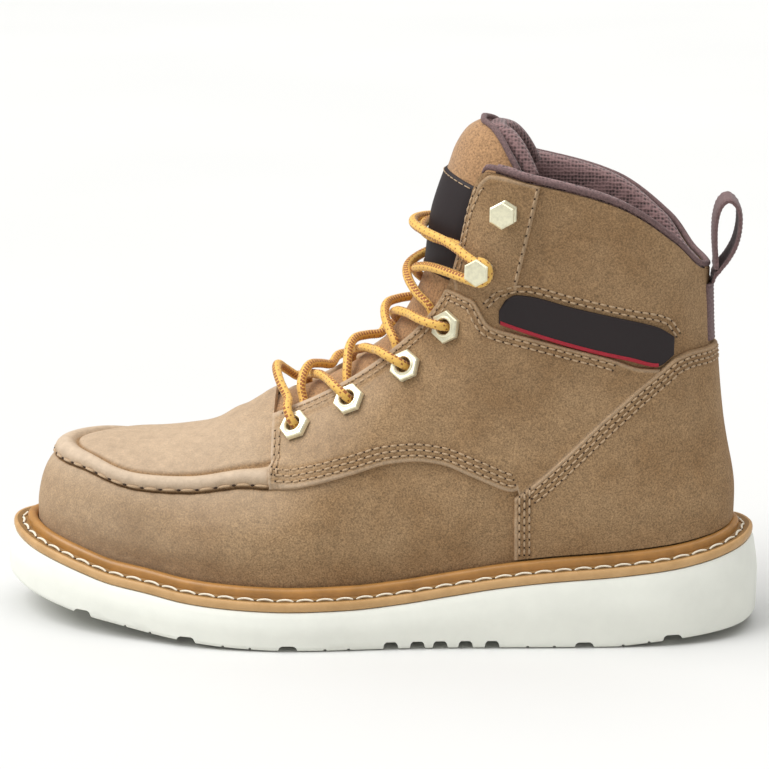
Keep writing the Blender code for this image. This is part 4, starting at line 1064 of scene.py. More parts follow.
def build_panel(name, t, low, high, rounded, seams, looks, replaces, slot, thickness=OVERLAY, lean=None,
                faded=()):
    """A leather panel over the upper with rounded cut edges, sunk along its seams."""
    z, rows = panel_rows(t, low, high)
    foot = foot_of(t)
    run = run_along(rim(t, FOOT_INSET))
    spots = np.repeat(t[:, None], rows.shape[1], axis=1)
    if lean is not None:
        weight = (1.0 - run / run[-1])[:, None]
        spots = station(foot[:, None] + weight * lean(z), -1 if t[0] > 0 else 1)
    level = level_at(spots.reshape(-1), z.reshape(-1))
    slope_low = np.gradient(low, run)
    slope_high = np.gradient(high, run)
    from_low = rows / np.sqrt(1 + slope_low ** 2)[:, None]
    from_high = (high[:, None] - z) / np.sqrt(1 + slope_high ** 2)[:, None]
    from_start = run[:, None] + 0.0 * rows
    from_end = (run[-1] - run)[:, None] + 0.0 * rows
    distances = {"low": from_low, "high": from_high, "start": from_start, "end": from_end}
    nearest = np.full(rows.shape, 1.0)
    for key in rounded:
        nearest = np.minimum(nearest, distances[key])
    share = np.clip(nearest / EDGE_ROUND, 0.0, 1.0)
    thick = thickness * (0.35 + 0.65 * np.sqrt(1.0 - (1.0 - share) ** 2))
    for key in faded:
        near = np.clip(distances[key] / 0.006, 0.0, 1.0)
        thick = thick * near * near * (3 - 2 * near) - 0.0002 * (1.0 - near)
    # Paler rubbed cut lip near the rounded edges
    lip_and_seam_shade = 0.42 * np.exp(-((nearest - 0.0008) / 0.0009) ** 2)
    for key, gaps, furthest in seams:
        for gap in gaps:
            here = np.exp(-((distances[key] - gap) / 0.0007) ** 2) * (foot < furthest)[:, None]
            thick = thick - SEAM_SINK * here
            # Painted shade along the sunk seam lines
            lip_and_seam_shade = lip_and_seam_shade - 0.22 * here
    outer, normal = on_upper(spots.reshape(-1), level[:, None], (GAP + thick).reshape(-1, 1))
    inner = on_upper(spots.reshape(-1), level[:, None], -0.0003)[0]
    # Painted light and shade from the nap's facing, plus the lip and the seams' painted shade
    rub_and_painted_light = painted_nap_light(normal, outer[..., 0], outer[..., 2]).reshape(-1) + lip_and_seam_shade.reshape(-1)
    faces = grid(len(t), rows.shape[1])
    points, closed = shell(outer.reshape(-1, 3), inner.reshape(-1, 3), faces)
    return make_piece(name, points, closed, looks, replaces, slot, 60, rub_and_painted_light=np.append(rub_and_painted_light, rub_and_painted_light))


def spread(first, last, spacing):
    """Stations between two, closer at both ends so that the edges can round."""
    reach = abs(last - first) * 0.5 * np.hypot(*np.diff(rim(np.linspace(0, 2, 800)), axis=0).T).sum()
    count = max(4, int(reach / spacing))
    inner = np.linspace(END_STEPS[-1], reach - END_STEPS[-1], count)
    run = np.concatenate([END_STEPS[:-1], inner, reach - END_STEPS[-2::-1]]) / reach
    return first + (last - first) * run


def panel_stations(table, side, spacing):
    """Stations of a panel from its heel end to its toe end."""
    first = station(table[-1][0] * SOLE_LENGTH, side)
    last = station(table[0][0] * SOLE_LENGTH, side)
    return spread(first, last, spacing)


def offset_row(t, z, gap):
    """A line on the upper moved sideways; a positive gap is to the left of its run, seen from outside."""
    step = np.where(t > 0.0, -0.001, 0.001)
    point, normal = on_upper(t, level_at(t, z), 0.0, False)
    point = point[:, 0]
    normal = normal[:, 0]
    ahead = unit(np.gradient(point, axis=0))
    side = np.cross(normal, ahead)
    turned = on_upper(t + step, level_at(t + step, z), 0.0, False)[0][:, 0]
    per_turn = (turned - point) / step[:, None]
    moved_t = t + gap * (side * per_turn).sum(axis=1) / (per_turn ** 2).sum(axis=1)
    return moved_t, z + gap * side[:, 2]


def seam_parts(t, z, offset, pitch, thread):
    """Stitches and needle holes along a line on the upper."""
    level = level_at(t, z)
    point, normal = on_upper(t, level[:, None], offset)
    point = point[:, 0]
    normal = normal[:, 0]
    run = run_along(point)
    count = int(run[-1] / pitch)
    threads = []
    holes = []
    if count < 1:
        return threads, holes
    starts = np.arange(count + 1) * run[-1] / count
    steps = np.linspace(-0.5, 0.5, 5)
    turn = 2 * math.pi * np.arange(6) / 6
    ring = np.stack([HOLE_RADIUS * np.cos(turn), HOLE_RADIUS * np.sin(turn), 0.0 * turn + HOLE_RISE], axis=1)
    for k in range(count + 1):
        here = at_run(starts[k], run, point)
        out = unit(at_run(starts[k], run, normal))
        rim_points = seat(here, out, (0.13, 0.05, 1.0), ring)
        faces = [(m, (m + 1) % 6, 6) for m in range(6)] + [((m + 1) % 6, m, 7) for m in range(6)]
        holes.append((np.vstack([rim_points, here + out * HOLE_RISE * 1.5, here - out * 0.0006]), faces))
        if k == count:
            break
        middle = starts[k] + 0.5 * run[-1] / count
        places = middle + steps * STITCH_SHARE * run[-1] / count
        path = at_run(places, run, point)
        away = at_run(places, run, normal)
        bow = 1.0 - (2 * steps) ** 2
        path = path + unit(away) * (bow * thread * 0.42 - thread * 0.12)[:, None]
        girth = thread * 0.5 * (0.35 + 0.65 * np.sqrt(np.maximum(bow, 0.0)))
        threads.append(tube(path, girth, 6))
    return threads, holes


class Seams:
    """Gathers stitches and holes of many rows for two joined meshes."""

    def __init__(self, thickness=OVERLAY):
        self.offset = GAP + thickness - SEAM_SINK
        self.threads = []
        self.holes = []

    def row(self, t, z, offset=None):
        sizes = bpy.context.scene.boot_sizes
        offset = self.offset if offset is None else offset
        threads, holes = seam_parts(np.asarray(t, float), np.asarray(z, float), offset, sizes.seam_pitch,
                                    sizes.seam_thread)
        self.threads += threads
        self.holes += holes

    def finish(self, name):
        for word, parts, look in (("stitches", self.threads, "thread"), ("holes", self.holes, "hole")):
            make_piece(f"{name}_{word}", *joined(parts), [FINISHES[look]])


# The quarter's back edge lies under the counter from here on
TUCK_FROM = COUNTER[0][0] * SOLE_LENGTH + 0.0012


def quarter_edges(side):
    lower = height_table(QUARTER, 1)
    upper = height_table(QUARTER, 2)
    t = panel_stations(QUARTER, side, 0.0011)
    foot = foot_of(t)
    edge = along_meridians(meridians(t), np.full((len(t), 1), EDGE - 0.03))[:, 0, 2]
    tucked = np.where(foot > TUCK_FROM, height_table(COUNTER, 1)(foot) - 0.0018, 1.0)
    low = np.minimum(lower(foot), tucked)
    return t, foot, low, np.minimum(upper(foot), edge)


def build_quarters():
    for side, word in ((-1, "lateral"), (1, "medial")):
        t, foot, low, high = quarter_edges(side)
        build_panel(f"quarter_leather_{word}", t, low, high, ("low", "high", "start", "end"),
                    (("low", QUARTER_LOW_ROWS, QUARTER_LOW_END),
                     ("high", QUARTER_HIGH_ROWS, QUARTER_HIGH_END),
                     ("end", QUARTER_FRONT_ROWS, QUARTER_HIGH_END)),
                    [FINISHES["nubuck"]], [f"quarter_{word}"], "nubuck_panel", QUARTER_THICKNESS)
        seams = Seams(QUARTER_THICKNESS)
        for gap in QUARTER_LOW_ROWS:
            keep = (foot > THROAT_FRONT + 0.003) & (foot < QUARTER_LOW_END)
            seams.row(*offset_row(t[keep], low[keep], side * gap))
        for gap in QUARTER_HIGH_ROWS:
            keep = (foot < QUARTER_HIGH_END) & (foot > THROAT_FRONT + 0.003)
            seams.row(*offset_row(t[keep], high[keep], -side * gap))
        for gap in QUARTER_FRONT_ROWS:
            x = np.full(24, THROAT_FRONT + gap)
            start = float(np.interp(THROAT_FRONT + gap, foot[::-1], low[::-1])) + 0.004
            stop = float(np.interp(THROAT_FRONT + gap, foot[::-1], high[::-1])) - 0.006
            seams.row(station(x, side), np.linspace(start, stop, 24))
        seams.finish(f"quarter_{word}")


def build_counter():
    upper = height_table(COUNTER, 1)
    front = float(station(COUNTER[0][0] * SOLE_LENGTH, -1))
    t = spread(front, -front, 0.0012)
    foot = foot_of(t)
    high = upper(foot)
    low = along_meridians(meridians(t), np.full((len(t), 1), 1.04))[:, 0, 2]
    build_panel("counter_leather", t, low, high, ("high", "start", "end"),
                [(edge, COUNTER_ROWS, 1.0) for edge in ("high", "start", "end")],
                [FINISHES["nubuck"]], ["heel_counter"], "nubuck_panel", COUNTER_THICKNESS)
    seams = Seams(COUNTER_THICKNESS)
    for gap in COUNTER_ROWS:
        inside = np.abs(t) < front - 0.012
        seams.row(*offset_row(t[inside], high[inside], -gap))
        for side in (-1, 1):
            x = np.full(20, COUNTER[0][0] * SOLE_LENGTH + gap)
            top = float(upper(x[0] + 0.002)) - 0.002
            seams.row(station(x, side), np.linspace(0.036, top, 20))
    seams.finish("counter")


SEAM_HEIGHTS = (0.145, 0.162, 0.184)
SEAM_LEAN = (-0.0030, 0.0010, 0.0058)


def build_shaft_panels():
    for side, word in ((-1, "lateral"), (1, "medial")):
        t = panel_stations(SHAFT_PANEL, side, 0.0007)
        foot = foot_of(t)
        high = along_meridians(meridians(t), np.full((len(t), 1), EDGE - 0.02))[:, 0, 2]
        low = np.minimum(height_table(SHAFT_PANEL, 1)(foot) - 0.003, high - 0.004)
        build_panel(f"shaft_leather_{word}", t, low, high, ("high", "start", "end"), (),
                    [FINISHES["nubuck"]], [f"shaft_panel_{word}"], "nubuck_panel", OVERLAY * 0.8,
                    lambda z: np.interp(z, SEAM_HEIGHTS, SEAM_LEAN), ("low",))
        seams = Seams(OVERLAY * 0.8 + SEAM_SINK)
        z = np.linspace(0.147, 0.183, 24)
        seams.row(station(0.0587 + np.interp(z, SEAM_HEIGHTS, SEAM_LEAN), side), z)
        x = np.linspace(0.0322, 0.0440, 40)
        edge_t = station(x, side)
        edge_z = along_meridians(meridians(edge_t), np.full((len(x), 1), EDGE - 0.02))[:, 0, 2]
        for gap in SHAFT_ROWS:
            row_t, row_z = offset_row(edge_t, edge_z, side * gap)
            keep = (row_z > 0.1475) & (row_z < 0.1825)
            seams.row(row_t[keep], row_z[keep])
        seams.finish(f"shaft_{word}")


def build_badges():
    lower = height_table(BADGE, 1)
    upper = height_table(BADGE, 2)
    seam_at = height_table(BADGE_SEAM, 1)
    for side, word in ((-1, "lateral"), (1, "medial")):
        t = panel_stations(BADGE, side, 0.0012)
        foot = foot_of(t)
        low = lower(foot)
        high = upper(foot)
        build_panel(f"badge_plain_{word}", t, low, high, ("low", "high", "start", "end"), (),
                    [FINISHES["badge"]], [f"badge_{word}"], "badge", OVERLAY * 0.8)
        inside = (foot > BADGE[0][0] * SOLE_LENGTH + 0.0004) & (foot < BADGE[-2][0] * SOLE_LENGTH)
        line_low = low[inside] - 0.0003
        build_panel(f"badge_line_{word}", t[inside], line_low, line_low + 0.0018, ("low", "high"), (),
                    [FINISHES["trim"]], (), "badge", OVERLAY * 0.8 + 0.0005)
        seams = Seams()
        x = np.linspace(BADGE_SEAM[0][0], BADGE_SEAM[-1][0], 90) * SOLE_LENGTH
        for gap in BADGE_ROWS:
            seam_t, seam_z = offset_row(station(x, side), seam_at(x), side * gap)
            seams.row(seam_t, seam_z, 0.0)
        seams.finish(f"badge_seam_{word}")


class BootPanels(bpy.types.Operator):
    """Builds quarters, counter, shaft panels and plain badges with their seams"""

    bl_idname = "boot.panels"
    bl_label = "Panels and seams"

    def execute(self, context):
        build_quarters()
        build_counter()
        build_shaft_panels()
        build_badges()
        return {"FINISHED"}


def cut_grooves(item):
    """Cuts the notches and the sipes across the underside."""
    parts = []
    width = BALL_WIDTH
    cuts = [(along, *WIDE_NOTCH) for along in WIDE_NOTCHES]
    cuts += [(along, *NARROW_NOTCH) for along in NARROW_NOTCHES]
    for along, wide, deep in cuts:
        x = along * SOLE_LENGTH
        base = float(sole_under(np.array(x)))
        low = float(sole_under(np.array(x - wide / 2)))
        high = float(sole_under(np.array(x + wide / 2)))
        outline = [(x - wide * 0.62, low - 0.004), (x + wide * 0.62, high - 0.004), (x + wide * 0.5, high),
                   (x + wide * 0.40, base + deep * 0.75), (x + wide * 0.28, base + deep),
                   (x - wide * 0.28, base + deep), (x - wide * 0.40, base + deep * 0.75),
                   (x - wide * 0.5, low)]
        parts.append(prism(outline, width))
    for along in SIPES:
        x = along * SOLE_LENGTH
        base = float(sole_under(np.array(x)))
        parts.append(prism([(x - 0.0010, base - 0.003), (x + 0.0010, base - 0.003),
                            (x + 0.0005, base + 0.0012), (x - 0.0005, base + 0.0012)], width))
    points, faces = joined(parts)
    mesh = bpy.data.meshes.new("groove_cutter")
    mesh.from_pydata(points.tolist(), [], faces)
    cutter = bpy.data.objects.new("groove_cutter", mesh)
    bpy.context.scene.collection.objects.link(cutter)
    work = bmesh.new()
    work.from_mesh(mesh)
    bmesh.ops.recalc_face_normals(work, faces=work.faces)
    work.to_mesh(mesh)
    work.free()
    cut = item.modifiers.new("grooves", "BOOLEAN")
    cut.operation = "DIFFERENCE"
    cut.solver = "EXACT"
    cut.object = cutter
    bpy.context.view_layer.update()
    graph = bpy.context.evaluated_depsgraph_get()
    result = bpy.data.meshes.new_from_object(item.evaluated_get(graph))
    item.modifiers.clear()
    item.data = result
    result.shade_smooth()
    result.set_sharp_from_angle(angle=math.radians(32))
    bpy.data.objects.remove(cutter, do_unlink=True)


def prism(outline, half_width):
    count = len(outline)
    points = [(x, -half_width, z) for x, z in outline] + [(x, half_width, z) for x, z in outline]
    faces = [tuple(range(count)), tuple(reversed(range(count, 2 * count)))]
    for i in range(count):
        j = (i + 1) % count
        faces.append((i, i + count, j + count, j))
    return np.array(points), faces


def end_faces(rows, count):
    """Faces that close the first and the last ring from heel to toe."""
    faces = []
    for base in (0, (rows - 1) * count):
        for i in range(count // 2):
            loop = (i, i + 1, (count - i - 1) % count, (count - i) % count)
            faces.append(tuple(dict.fromkeys(base + k for k in loop)))
    return faces


def build_outsole():
    sides = np.linspace(0.1, 0.9, 90)[1:]
    half = np.concatenate([np.linspace(0, 0.1, 22), sides, np.linspace(0.9, 1.0, 22)[1:]])
    ring = np.concatenate([half, 2.0 - half[-2:0:-1]])
    rows = [(0.0030, 0.0, 0.0), (0.0020, 0.0, 0.0), (0.0010, 0.0, 0.0004), (0.0004, 0.0, 0.0010),
            (0.0002, 0.0, 0.0018)]
    rows += [(0.0002 - 0.0002 * math.sin(math.pi * s), s, 0.0) for s in (0.12, 0.25, 0.4, 0.55)]
    rows += [(0.0006, 0.7, 0.0), (0.0013, 0.84, 0.0), (0.0020, 0.95, 0.0), (0.0026, 1.0, -0.0001),
             (0.0036, 1.0, 0.0)]
    points = []
    for inset, share, extra in rows:
        xy = rim(ring, inset)
        under = sole_under(xy[:, 0])
        top = sole_top(xy[:, 0])
        z = under + (top - under) * share + extra
        points.append(np.column_stack([xy, z]))
    count = len(ring)
    faces = [tuple(f) for f in grid(len(rows), count, False, True)]
    faces += end_faces(len(rows), count)
    item = make_piece("outsole_rubber", np.concatenate(points), faces, [FINISHES["rubber"]],
                      ["outsole"], "sole_rubber", 32)
    cut_grooves(item)


def build_welt():
    rest = SOLE_BULGE
    inner = SOLE_BULGE + WELT_WIDTH
    strip = WELT_THICKNESS
    bead = BEAD_HEIGHT
    profile = [(rest + 0.0003, 0.0), (rest, 0.0003), (rest - 0.0002, strip * 0.3),
               (rest - 0.0002, strip * 0.6), (rest, strip * 0.86), (rest + 0.0004, strip),
               (rest + 0.0012, strip + 0.0001),
               (rest + 0.0028, strip), (rest + 0.0033, strip - 0.0003), (rest + 0.0038, strip - 0.0003),
               (rest + 0.0043, strip), (inner - 0.0047, strip + 0.0001), (inner - 0.0043, strip + 0.0004)]
    for k in range(11):
        turn = math.pi * (1.0 - k / 10 * 0.86)
        height = strip + bead * 0.5 + bead * 0.5 * math.sin(turn)
        profile.append((inner - 0.0021 + 0.0021 * math.cos(turn), height))
    profile += [(inner, strip + bead * 0.4), (inner, 0.0)]
    t = np.arange(480) / 240.0
    points = []
    for inset, lift in profile:
        xy = rim(t, inset)
        points.append(np.column_stack([xy, sole_top(xy[:, 0]) + GAP + lift]))
    points = np.stack(points, axis=1)
    faces = grid(len(t), len(profile), True, True)
    column_of = faces.min(axis=1) % len(profile)
    picks = np.where(column_of < 6, 1, np.where(column_of < 12, 2, 0))
    looks = [FINISHES["welt"], FINISHES["welt_edge"], FINISHES["welt_top"]]
    make_piece("welt_strip", points, faces, looks, ["welt"], "welt", 40, picks)


def build_welt_seam():
    """Cream thread of the welt: each stitch bows in towards the upper between two holes."""
    sizes = bpy.context.scene.boot_sizes
    fine = np.linspace(0.0, 2.0, 2001)
    inset = SOLE_BULGE + 0.0035
    line = rim(fine, inset)
    run = run_along(line)
    count = int(run[-1] / sizes.welt_pitch)
    threads = []
    holes = []
    steps = np.linspace(0.0, 1.0, 9)
    for k in range(count):
        places = (k + 0.04 + 0.92 * steps) * run[-1] / count
        t = np.interp(places, run, fine)
        bow = np.sin(math.pi * steps)
        xy = rim(t, inset - 0.0002 + 0.0008 * bow)
        z = sole_top(xy[:, 0]) + GAP + WELT_THICKNESS - 0.0002 + 0.0006 * bow ** 0.7
        threads.append(tube(np.column_stack([xy, z]), 0.00052 * (0.55 + 0.45 * bow ** 0.5), 7))
        t = np.interp((k + 0.0) * run[-1] / count + np.linspace(-0.0006, 0.0006, 3), run, fine)
        xy = rim(t, inset - 0.0003)
        z = sole_top(xy[:, 0]) + GAP + WELT_THICKNESS - 0.0002
        holes.append(tube(np.column_stack([xy, z]), 0.00045, 6))
    make_piece("welt_thread", *joined(threads), [FINISHES["cream"]])
    make_piece("welt_holes", *joined(holes), [FINISHES["hole"]])


def build_insole():
    clearance = FOOT_INSET + WALL + 0.0012
    half = np.linspace(0, 1, 90)
    ring = np.concatenate([half, 2.0 - half[-2:0:-1]])
    rows = [(0.0, 0.0), (0.0, INSOLE_THICKNESS * 0.6), (0.0006, INSOLE_THICKNESS * 0.9),
            (0.0016, INSOLE_THICKNESS), (0.006, INSOLE_THICKNESS * 0.97), (0.012, INSOLE_THICKNESS * 0.9)]
    points = []
    for inset, lift in rows:
        xy = rim(ring, clearance + inset)
        points.append(np.column_stack([xy, sole_top(xy[:, 0]) + GAP + lift]))
    count = len(ring)
    faces = [tuple(f) for f in grid(len(rows), count, False, True)]
    faces += end_faces(len(rows), count)
    make_piece("insole_board", np.concatenate(points), faces, [FINISHES["board"]], ["insole"],
               "insole_board", 50)


class BootSole(bpy.types.Operator):
    """Builds the wedge outsole, the welt with its bead and cream seam, and the insole"""

    bl_idname = "boot.sole"
    bl_label = "Sole, welt and insole"

    def execute(self, context):
        build_outsole()
        build_welt()
        build_welt_seam()
        build_insole()
        return {"FINISHED"}


def tongue_line():
    """The tongue's centre line in side view, and the length along it."""
    x_at = column(TONGUE, 0) * SOLE_LENGTH
    z_at = column(TONGUE, 1) * SHAFT_HEIGHT
    return x_at, z_at, run_along(np.stack([x_at, z_at], axis=1))


def tongue_frames(s):
    """Centre line, outward normal, radius, half-width and whole length at shares of the tongue's length."""
    x_at, z_at, chord = tongue_line()
    x_slope = np.gradient(x_at, chord)
    z_slope = np.gradient(z_at, chord)
    at = np.clip(s, 0.0, 1.0) * chord[-1]
    x = hermite(chord, x_at, x_slope, at)
    z = hermite(chord, z_at, z_slope, at)
    ahead = unit(np.stack([np.interp(at, chord, x_slope), np.interp(at, chord, z_slope)], axis=-1))
    radius = np.interp(at, chord, column(TONGUE, 3)) * TONGUE_RADIUS
    half = np.interp(at, chord, column(TONGUE, 2)) * radius
    return x, z, np.stack([-ahead[..., 1], ahead[..., 0]], axis=-1), radius, half, chord[-1]


def on_tongue(s, share, offset=0.0):
    s, share, offset = np.broadcast_arrays(np.asarray(s, float), share, offset)
    x, z, normal, radius, half, length = tongue_frames(s)
    sine = half * share / radius
    cosine = np.sqrt(1.0 - sine * sine)
    reach = (radius + offset) * cosine - radius
    ear = np.clip((s - 0.80) / 0.20, 0.0, 1.0)
    flare = TONGUE_FLARE * ear * ear * np.clip(np.abs(share) - 0.25, 0.0, 1.0) / 0.75
    droop = TONGUE_DROOP * ear * ear * (np.clip(np.abs(share) - 0.45, 0.0, 1.0) / 0.55) ** 2
    return np.stack([x + normal[..., 0] * reach + flare, spine_y(x) + (radius + offset) * sine,
                     z + normal[..., 1] * reach - droop], axis=-1)


def build_tongue():
    s = np.concatenate([np.linspace(0.0, 0.86, 90), np.linspace(0.86, 1.0, 34)[1:]])
    across = np.linspace(-1.0, 1.0, 49)
    length = tongue_frames(np.array(0.0))[5]
    grid_s, grid_a = np.meshgrid(s, across, indexing="ij")
    rolled = np.clip(1.0 - (1.0 - grid_s) * length / TONGUE_ROLL, 0.0, 1.0)
    thick = TONGUE_THICKNESS * (1.0 + 0.35 * rolled)
    edge = 1.0 - 0.55 * np.abs(grid_a) ** 6
    outer = on_tongue(grid_s, grid_a, -0.0004 * np.abs(grid_a) ** 8)
    inner = on_tongue(grid_s, grid_a, -thick * edge)
    faces = grid(len(s), len(across))
    points, closed = shell(outer.reshape(-1, 3), inner.reshape(-1, 3), faces)
    picks = np.zeros(len(closed), int)
    picks[len(faces):] = 1
    picks[:len(faces)] = (faces.min(axis=1) // len(across)) >= len(s) - 3
    item = make_piece("tongue_padded", points, closed, [FINISHES["suede"], FINISHES["knit"]], ["tongue"],
                      "tongue_suede", 70, picks)
    # Rolled lining above the suede, from one side to the other
    rim_path = []
    arc = np.linspace(-1.0, 1.0, 90)
    bulge = []
    for share in arc:
        rim_path.append(on_tongue(1.0, share, -TONGUE_THICKNESS * 0.80) + np.array((0.0032, 0.0, -0.0002)))
        bulge.append(TONGUE_THICKNESS * (0.66 - 0.20 * abs(share) ** 4))
    points, faces = tube(np.array(rim_path), np.array(bulge), 18)
    roll = make_piece("tongue_roll", points, faces, [FINISHES["knit"]], slot="lining_mesh")
    # Piping where the suede ends: up both sides and across below the roll
    side = np.linspace(0.74, 0.982, 26)
    path = [on_tongue(v, -0.99, 0.0002) for v in side]
    path += [on_tongue(0.992 + 0.007 * (1 - a * a), a, 0.0004) for a in np.linspace(-0.98, 0.98, 50)]
    path += [on_tongue(v, 0.99, 0.0002) for v in side[::-1]]
    points, faces = tube(curve_through(np.array(path)[::2], 0.0012), PIPING_RADIUS, 10)
    make_piece("tongue_piping", points, faces, [FINISHES["webbing"]], slot="webbing")


PATCH_LOW = 0.775
PATCH_HIGH = 0.985
PATCH_THICKNESS = 0.0009
PATCH_SPAN = 0.93


def build_patch():
    """Plain dark patch on the front of the tongue, stitched along its lower and upper edges."""
    z_at, chord = tongue_line()[1:]
    low = float(np.interp(PATCH_LOW * SHAFT_HEIGHT, z_at, chord) / chord[-1])
    high = float(np.interp(PATCH_HIGH * SHAFT_HEIGHT, z_at, chord) / chord[-1])
    s = np.linspace(low, high, 40)
    across = np.linspace(-PATCH_SPAN, PATCH_SPAN, 40)
    grid_s, grid_a = np.meshgrid(s, across, indexing="ij")
    gap_s = np.minimum(grid_s - low, high - grid_s) * chord[-1]
    gap_a = (PATCH_SPAN - np.abs(grid_a)) * TONGUE_RADIUS * 0.85
    share = np.clip(np.minimum(gap_s, gap_a) / 0.0006, 0.0, 1.0)
    thick = PATCH_THICKNESS * (0.3 + 0.7 * np.sqrt(1 - (1 - share) ** 2))
    outer = on_tongue(grid_s, grid_a, thick)
    inner = on_tongue(grid_s, grid_a, -0.0003)
    points, closed = shell(outer.reshape(-1, 3), inner.reshape(-1, 3), grid(40, 40))
    make_piece("tongue_patch", points, closed, [FINISHES["badge"]], slot="badge", sharp=60)
    inset = 0.0014 / chord[-1]
    loop = [(low + inset, a) for a in np.linspace(-0.88, 0.88, 19)]
    loop += [(high - inset, a) for a in np.linspace(0.88, -0.88, 19)]
    threads = []
    for (s_a, a_a), (s_b, a_b) in zip(loop, loop[1:]):
        if s_a == s_b:
            mix = np.linspace(0.14, 0.86, 5)
            lift = PATCH_THICKNESS + 0.0002 * (1 - (2 * mix - 1) ** 2)
            path = on_tongue(s_a + 0 * mix, a_a + (a_b - a_a) * mix, lift)
            threads.append(tube(path, 0.0002, 6))
    make_piece("tongue_patch_stitches", *joined(threads), [FINISHES["thread"]])


class BootTongue(bpy.types.Operator):
    """Builds the padded tongue with its mesh roll, piping and plain patch"""

    bl_idname = "boot.tongue"
    bl_label = "Tongue"

    def execute(self, context):
        build_tongue()
        build_patch()
        return {"FINISHED"}


def collar_frames(t):
    point, normal = on_upper(t, np.full((len(t), 1), EDGE), 0.0, False)
    below = on_upper(t, np.full((len(t), 1), EDGE - 0.1), 0.0, False)[0]
    return point[:, 0], normal[:, 0], unit(point[:, 0] - below[:, 0])


def build_collar():
    front = float(station(PIPING_FRONT + 0.002, -1))
    t = np.linspace(-front, front, 210)
    point, normal, up = collar_frames(t)
    inside = WALL + GAP + 0.0003
    knots = np.array([
        (inside, -COLLAR_DEPTH), (inside, -COLLAR_DEPTH * 0.5), (inside, -0.0010), (inside + 0.0002, 0.0016),
        (inside + COLLAR_PAD * 0.18, 0.0029), (inside + COLLAR_PAD * 0.4, 0.0033),
        (inside + COLLAR_PAD * 0.65, 0.0026), (inside + COLLAR_PAD * 0.85, 0.0010),
        (inside + COLLAR_PAD * 0.97, -0.0028), (inside + COLLAR_PAD, -0.0060),
        (inside + COLLAR_PAD * 0.96, -0.0110), (inside + COLLAR_PAD * 0.8, -COLLAR_DEPTH * 0.55),
        (inside + COLLAR_PAD * 0.55, -COLLAR_DEPTH * 0.8), (inside + 0.0025, -COLLAR_DEPTH)])
    chord = run_along(knots)
    wanted = np.linspace(0, chord[-1], 44)
    slopes = np.gradient(knots, chord, axis=0)
    profile = np.stack([hermite(chord, knots[:, k], slopes[:, k], wanted) for k in range(2)], axis=1)
    columns = []
    for depth, height in profile:
        if height > 0.0:
            columns.append(point - normal * depth + up * height)
        else:
            level = level_at(t, point[:, 2] + height)
            columns.append(on_upper(t, level, -depth, False)[0][:, 0])
    points = np.stack(columns, axis=1)
    rows, count = points.shape[:2]
    faces = [tuple(f) for f in grid(rows, count, False, True)]
    faces += [tuple(range(count)), tuple(range((rows - 1) * count, rows * count))]
    item = make_piece("collar_mesh", points, faces, [FINISHES["knit"]], ["padded_collar"], "lining_mesh", 60)


def build_piping():
    front = float(station(PIPING_FRONT - 0.0028, -1))
    t = np.linspace(-front, front, 260)
    point, normal, up = collar_frames(t)
    run = run_along(point)
    size = np.clip(0.3 + 0.7 * np.minimum(run, run[-1] - run) / 0.003, 0.3, 1.0)
    path = point - normal * (PIPING_RADIUS - GAP) + up * ((PIPING_RADIUS + 3 * GAP) * size)[:, None]
    points, faces = tube(path, PIPING_RADIUS * size, 12)
    make_piece("collar_binding", points, faces, [FINISHES["webbing"]], ["collar_piping"], "webbing")


def build_pull_loop():
    """Ribbed webbing up the back of the heel, out into a loop and back down."""
    top = on_upper([0.0], [[EDGE]], 0.0, False)[0][0, 0]
    widths = np.linspace(-LOOP_WIDTH / 2, LOOP_WIDTH / 2, 21)
    turn = np.linspace(0.0, 0.09, 19)
    rows_z = np.linspace(LOOP_FOOT, top[2] - 0.005, 60)
    strip = []
    for z in rows_z:
        spots = on_upper(turn, level_at(turn, np.full(len(turn), z)), GAP, False)[0][:, 0]
        strip.append(np.stack([np.interp(np.abs(widths), -spots[:, 1], spots[:, 0]), widths,
                               np.full(len(widths), z)], axis=1))
    strip = np.array(strip)
    start = strip[-1, len(widths) // 2, 0]
    base = on_upper([0.0], level_at([0.0], top[2])[:, None], GAP, False)[0][0, 0, 0]
    path = np.array([(base + a * LOOP_HEIGHT, 0.0, top[2] + b * LOOP_HEIGHT) for a, b in LOOP_PATH])
    join = np.array([[start, 0.0, rows_z[-1]]])
    smooth = curve_through(np.concatenate([join, path]), 0.0005)
    along = unit(np.gradient(smooth, axis=0))
    out = np.stack([along[:, 2], 0 * along[:, 0], -along[:, 0]], axis=1)
    inner = np.concatenate([strip[:-1], smooth[:, None, :] * (1, 0, 1) + widths[None, :, None] * (0, 1, 0)])
    away = np.concatenate([np.tile((1.0, 0.0, 0.0), (len(strip) - 1, 1)), out])
    run = run_along(inner[:, len(widths) // 2])
    rib = 0.00012 * np.sin(2 * math.pi * run / 0.0016)
    round_edge = 1.0 - 0.7 * (np.abs(widths) / (LOOP_WIDTH / 2)) ** 10
    free = np.clip((run - run[len(strip) - 2]) / 0.006, 0.0, 1.0)
    thick = LOOP_THICKNESS * (0.6 + 0.4 * free)[:, None] * (0.5 + 0.5 * round_edge)[None, :] + rib[:, None]
    outer = inner + away[:, None, :] * thick[..., None]
    inner = inner - away[:, None, :] * rib[:, None, None] * 0.5
    narrow = (0.80 + 0.20 * free)[:, None]
    outer[..., 1] *= narrow
    inner[..., 1] *= narrow
    points, closed = shell(outer.reshape(-1, 3), inner.reshape(-1, 3), grid(len(inner), len(widths)))
    make_piece("pull_loop_webbing", points, closed, [FINISHES["webbing"]], ["pull_loop"], "webbing", 60)


class BootCollar(bpy.types.Operator):
    """Builds the padded mesh collar, its piping and the pull loop"""

    bl_idname = "boot.collar"
    bl_label = "Collar and pull loop"

    def execute(self, context):
        build_collar()
        build_piping()
        build_pull_loop()
        return {"FINISHED"}


FITTING_BASE = 2 * GAP + OVERLAY + FITTING_REST
RING_SIDES = 48
UPWARD = np.array([0.0, 0.0, 1.0])


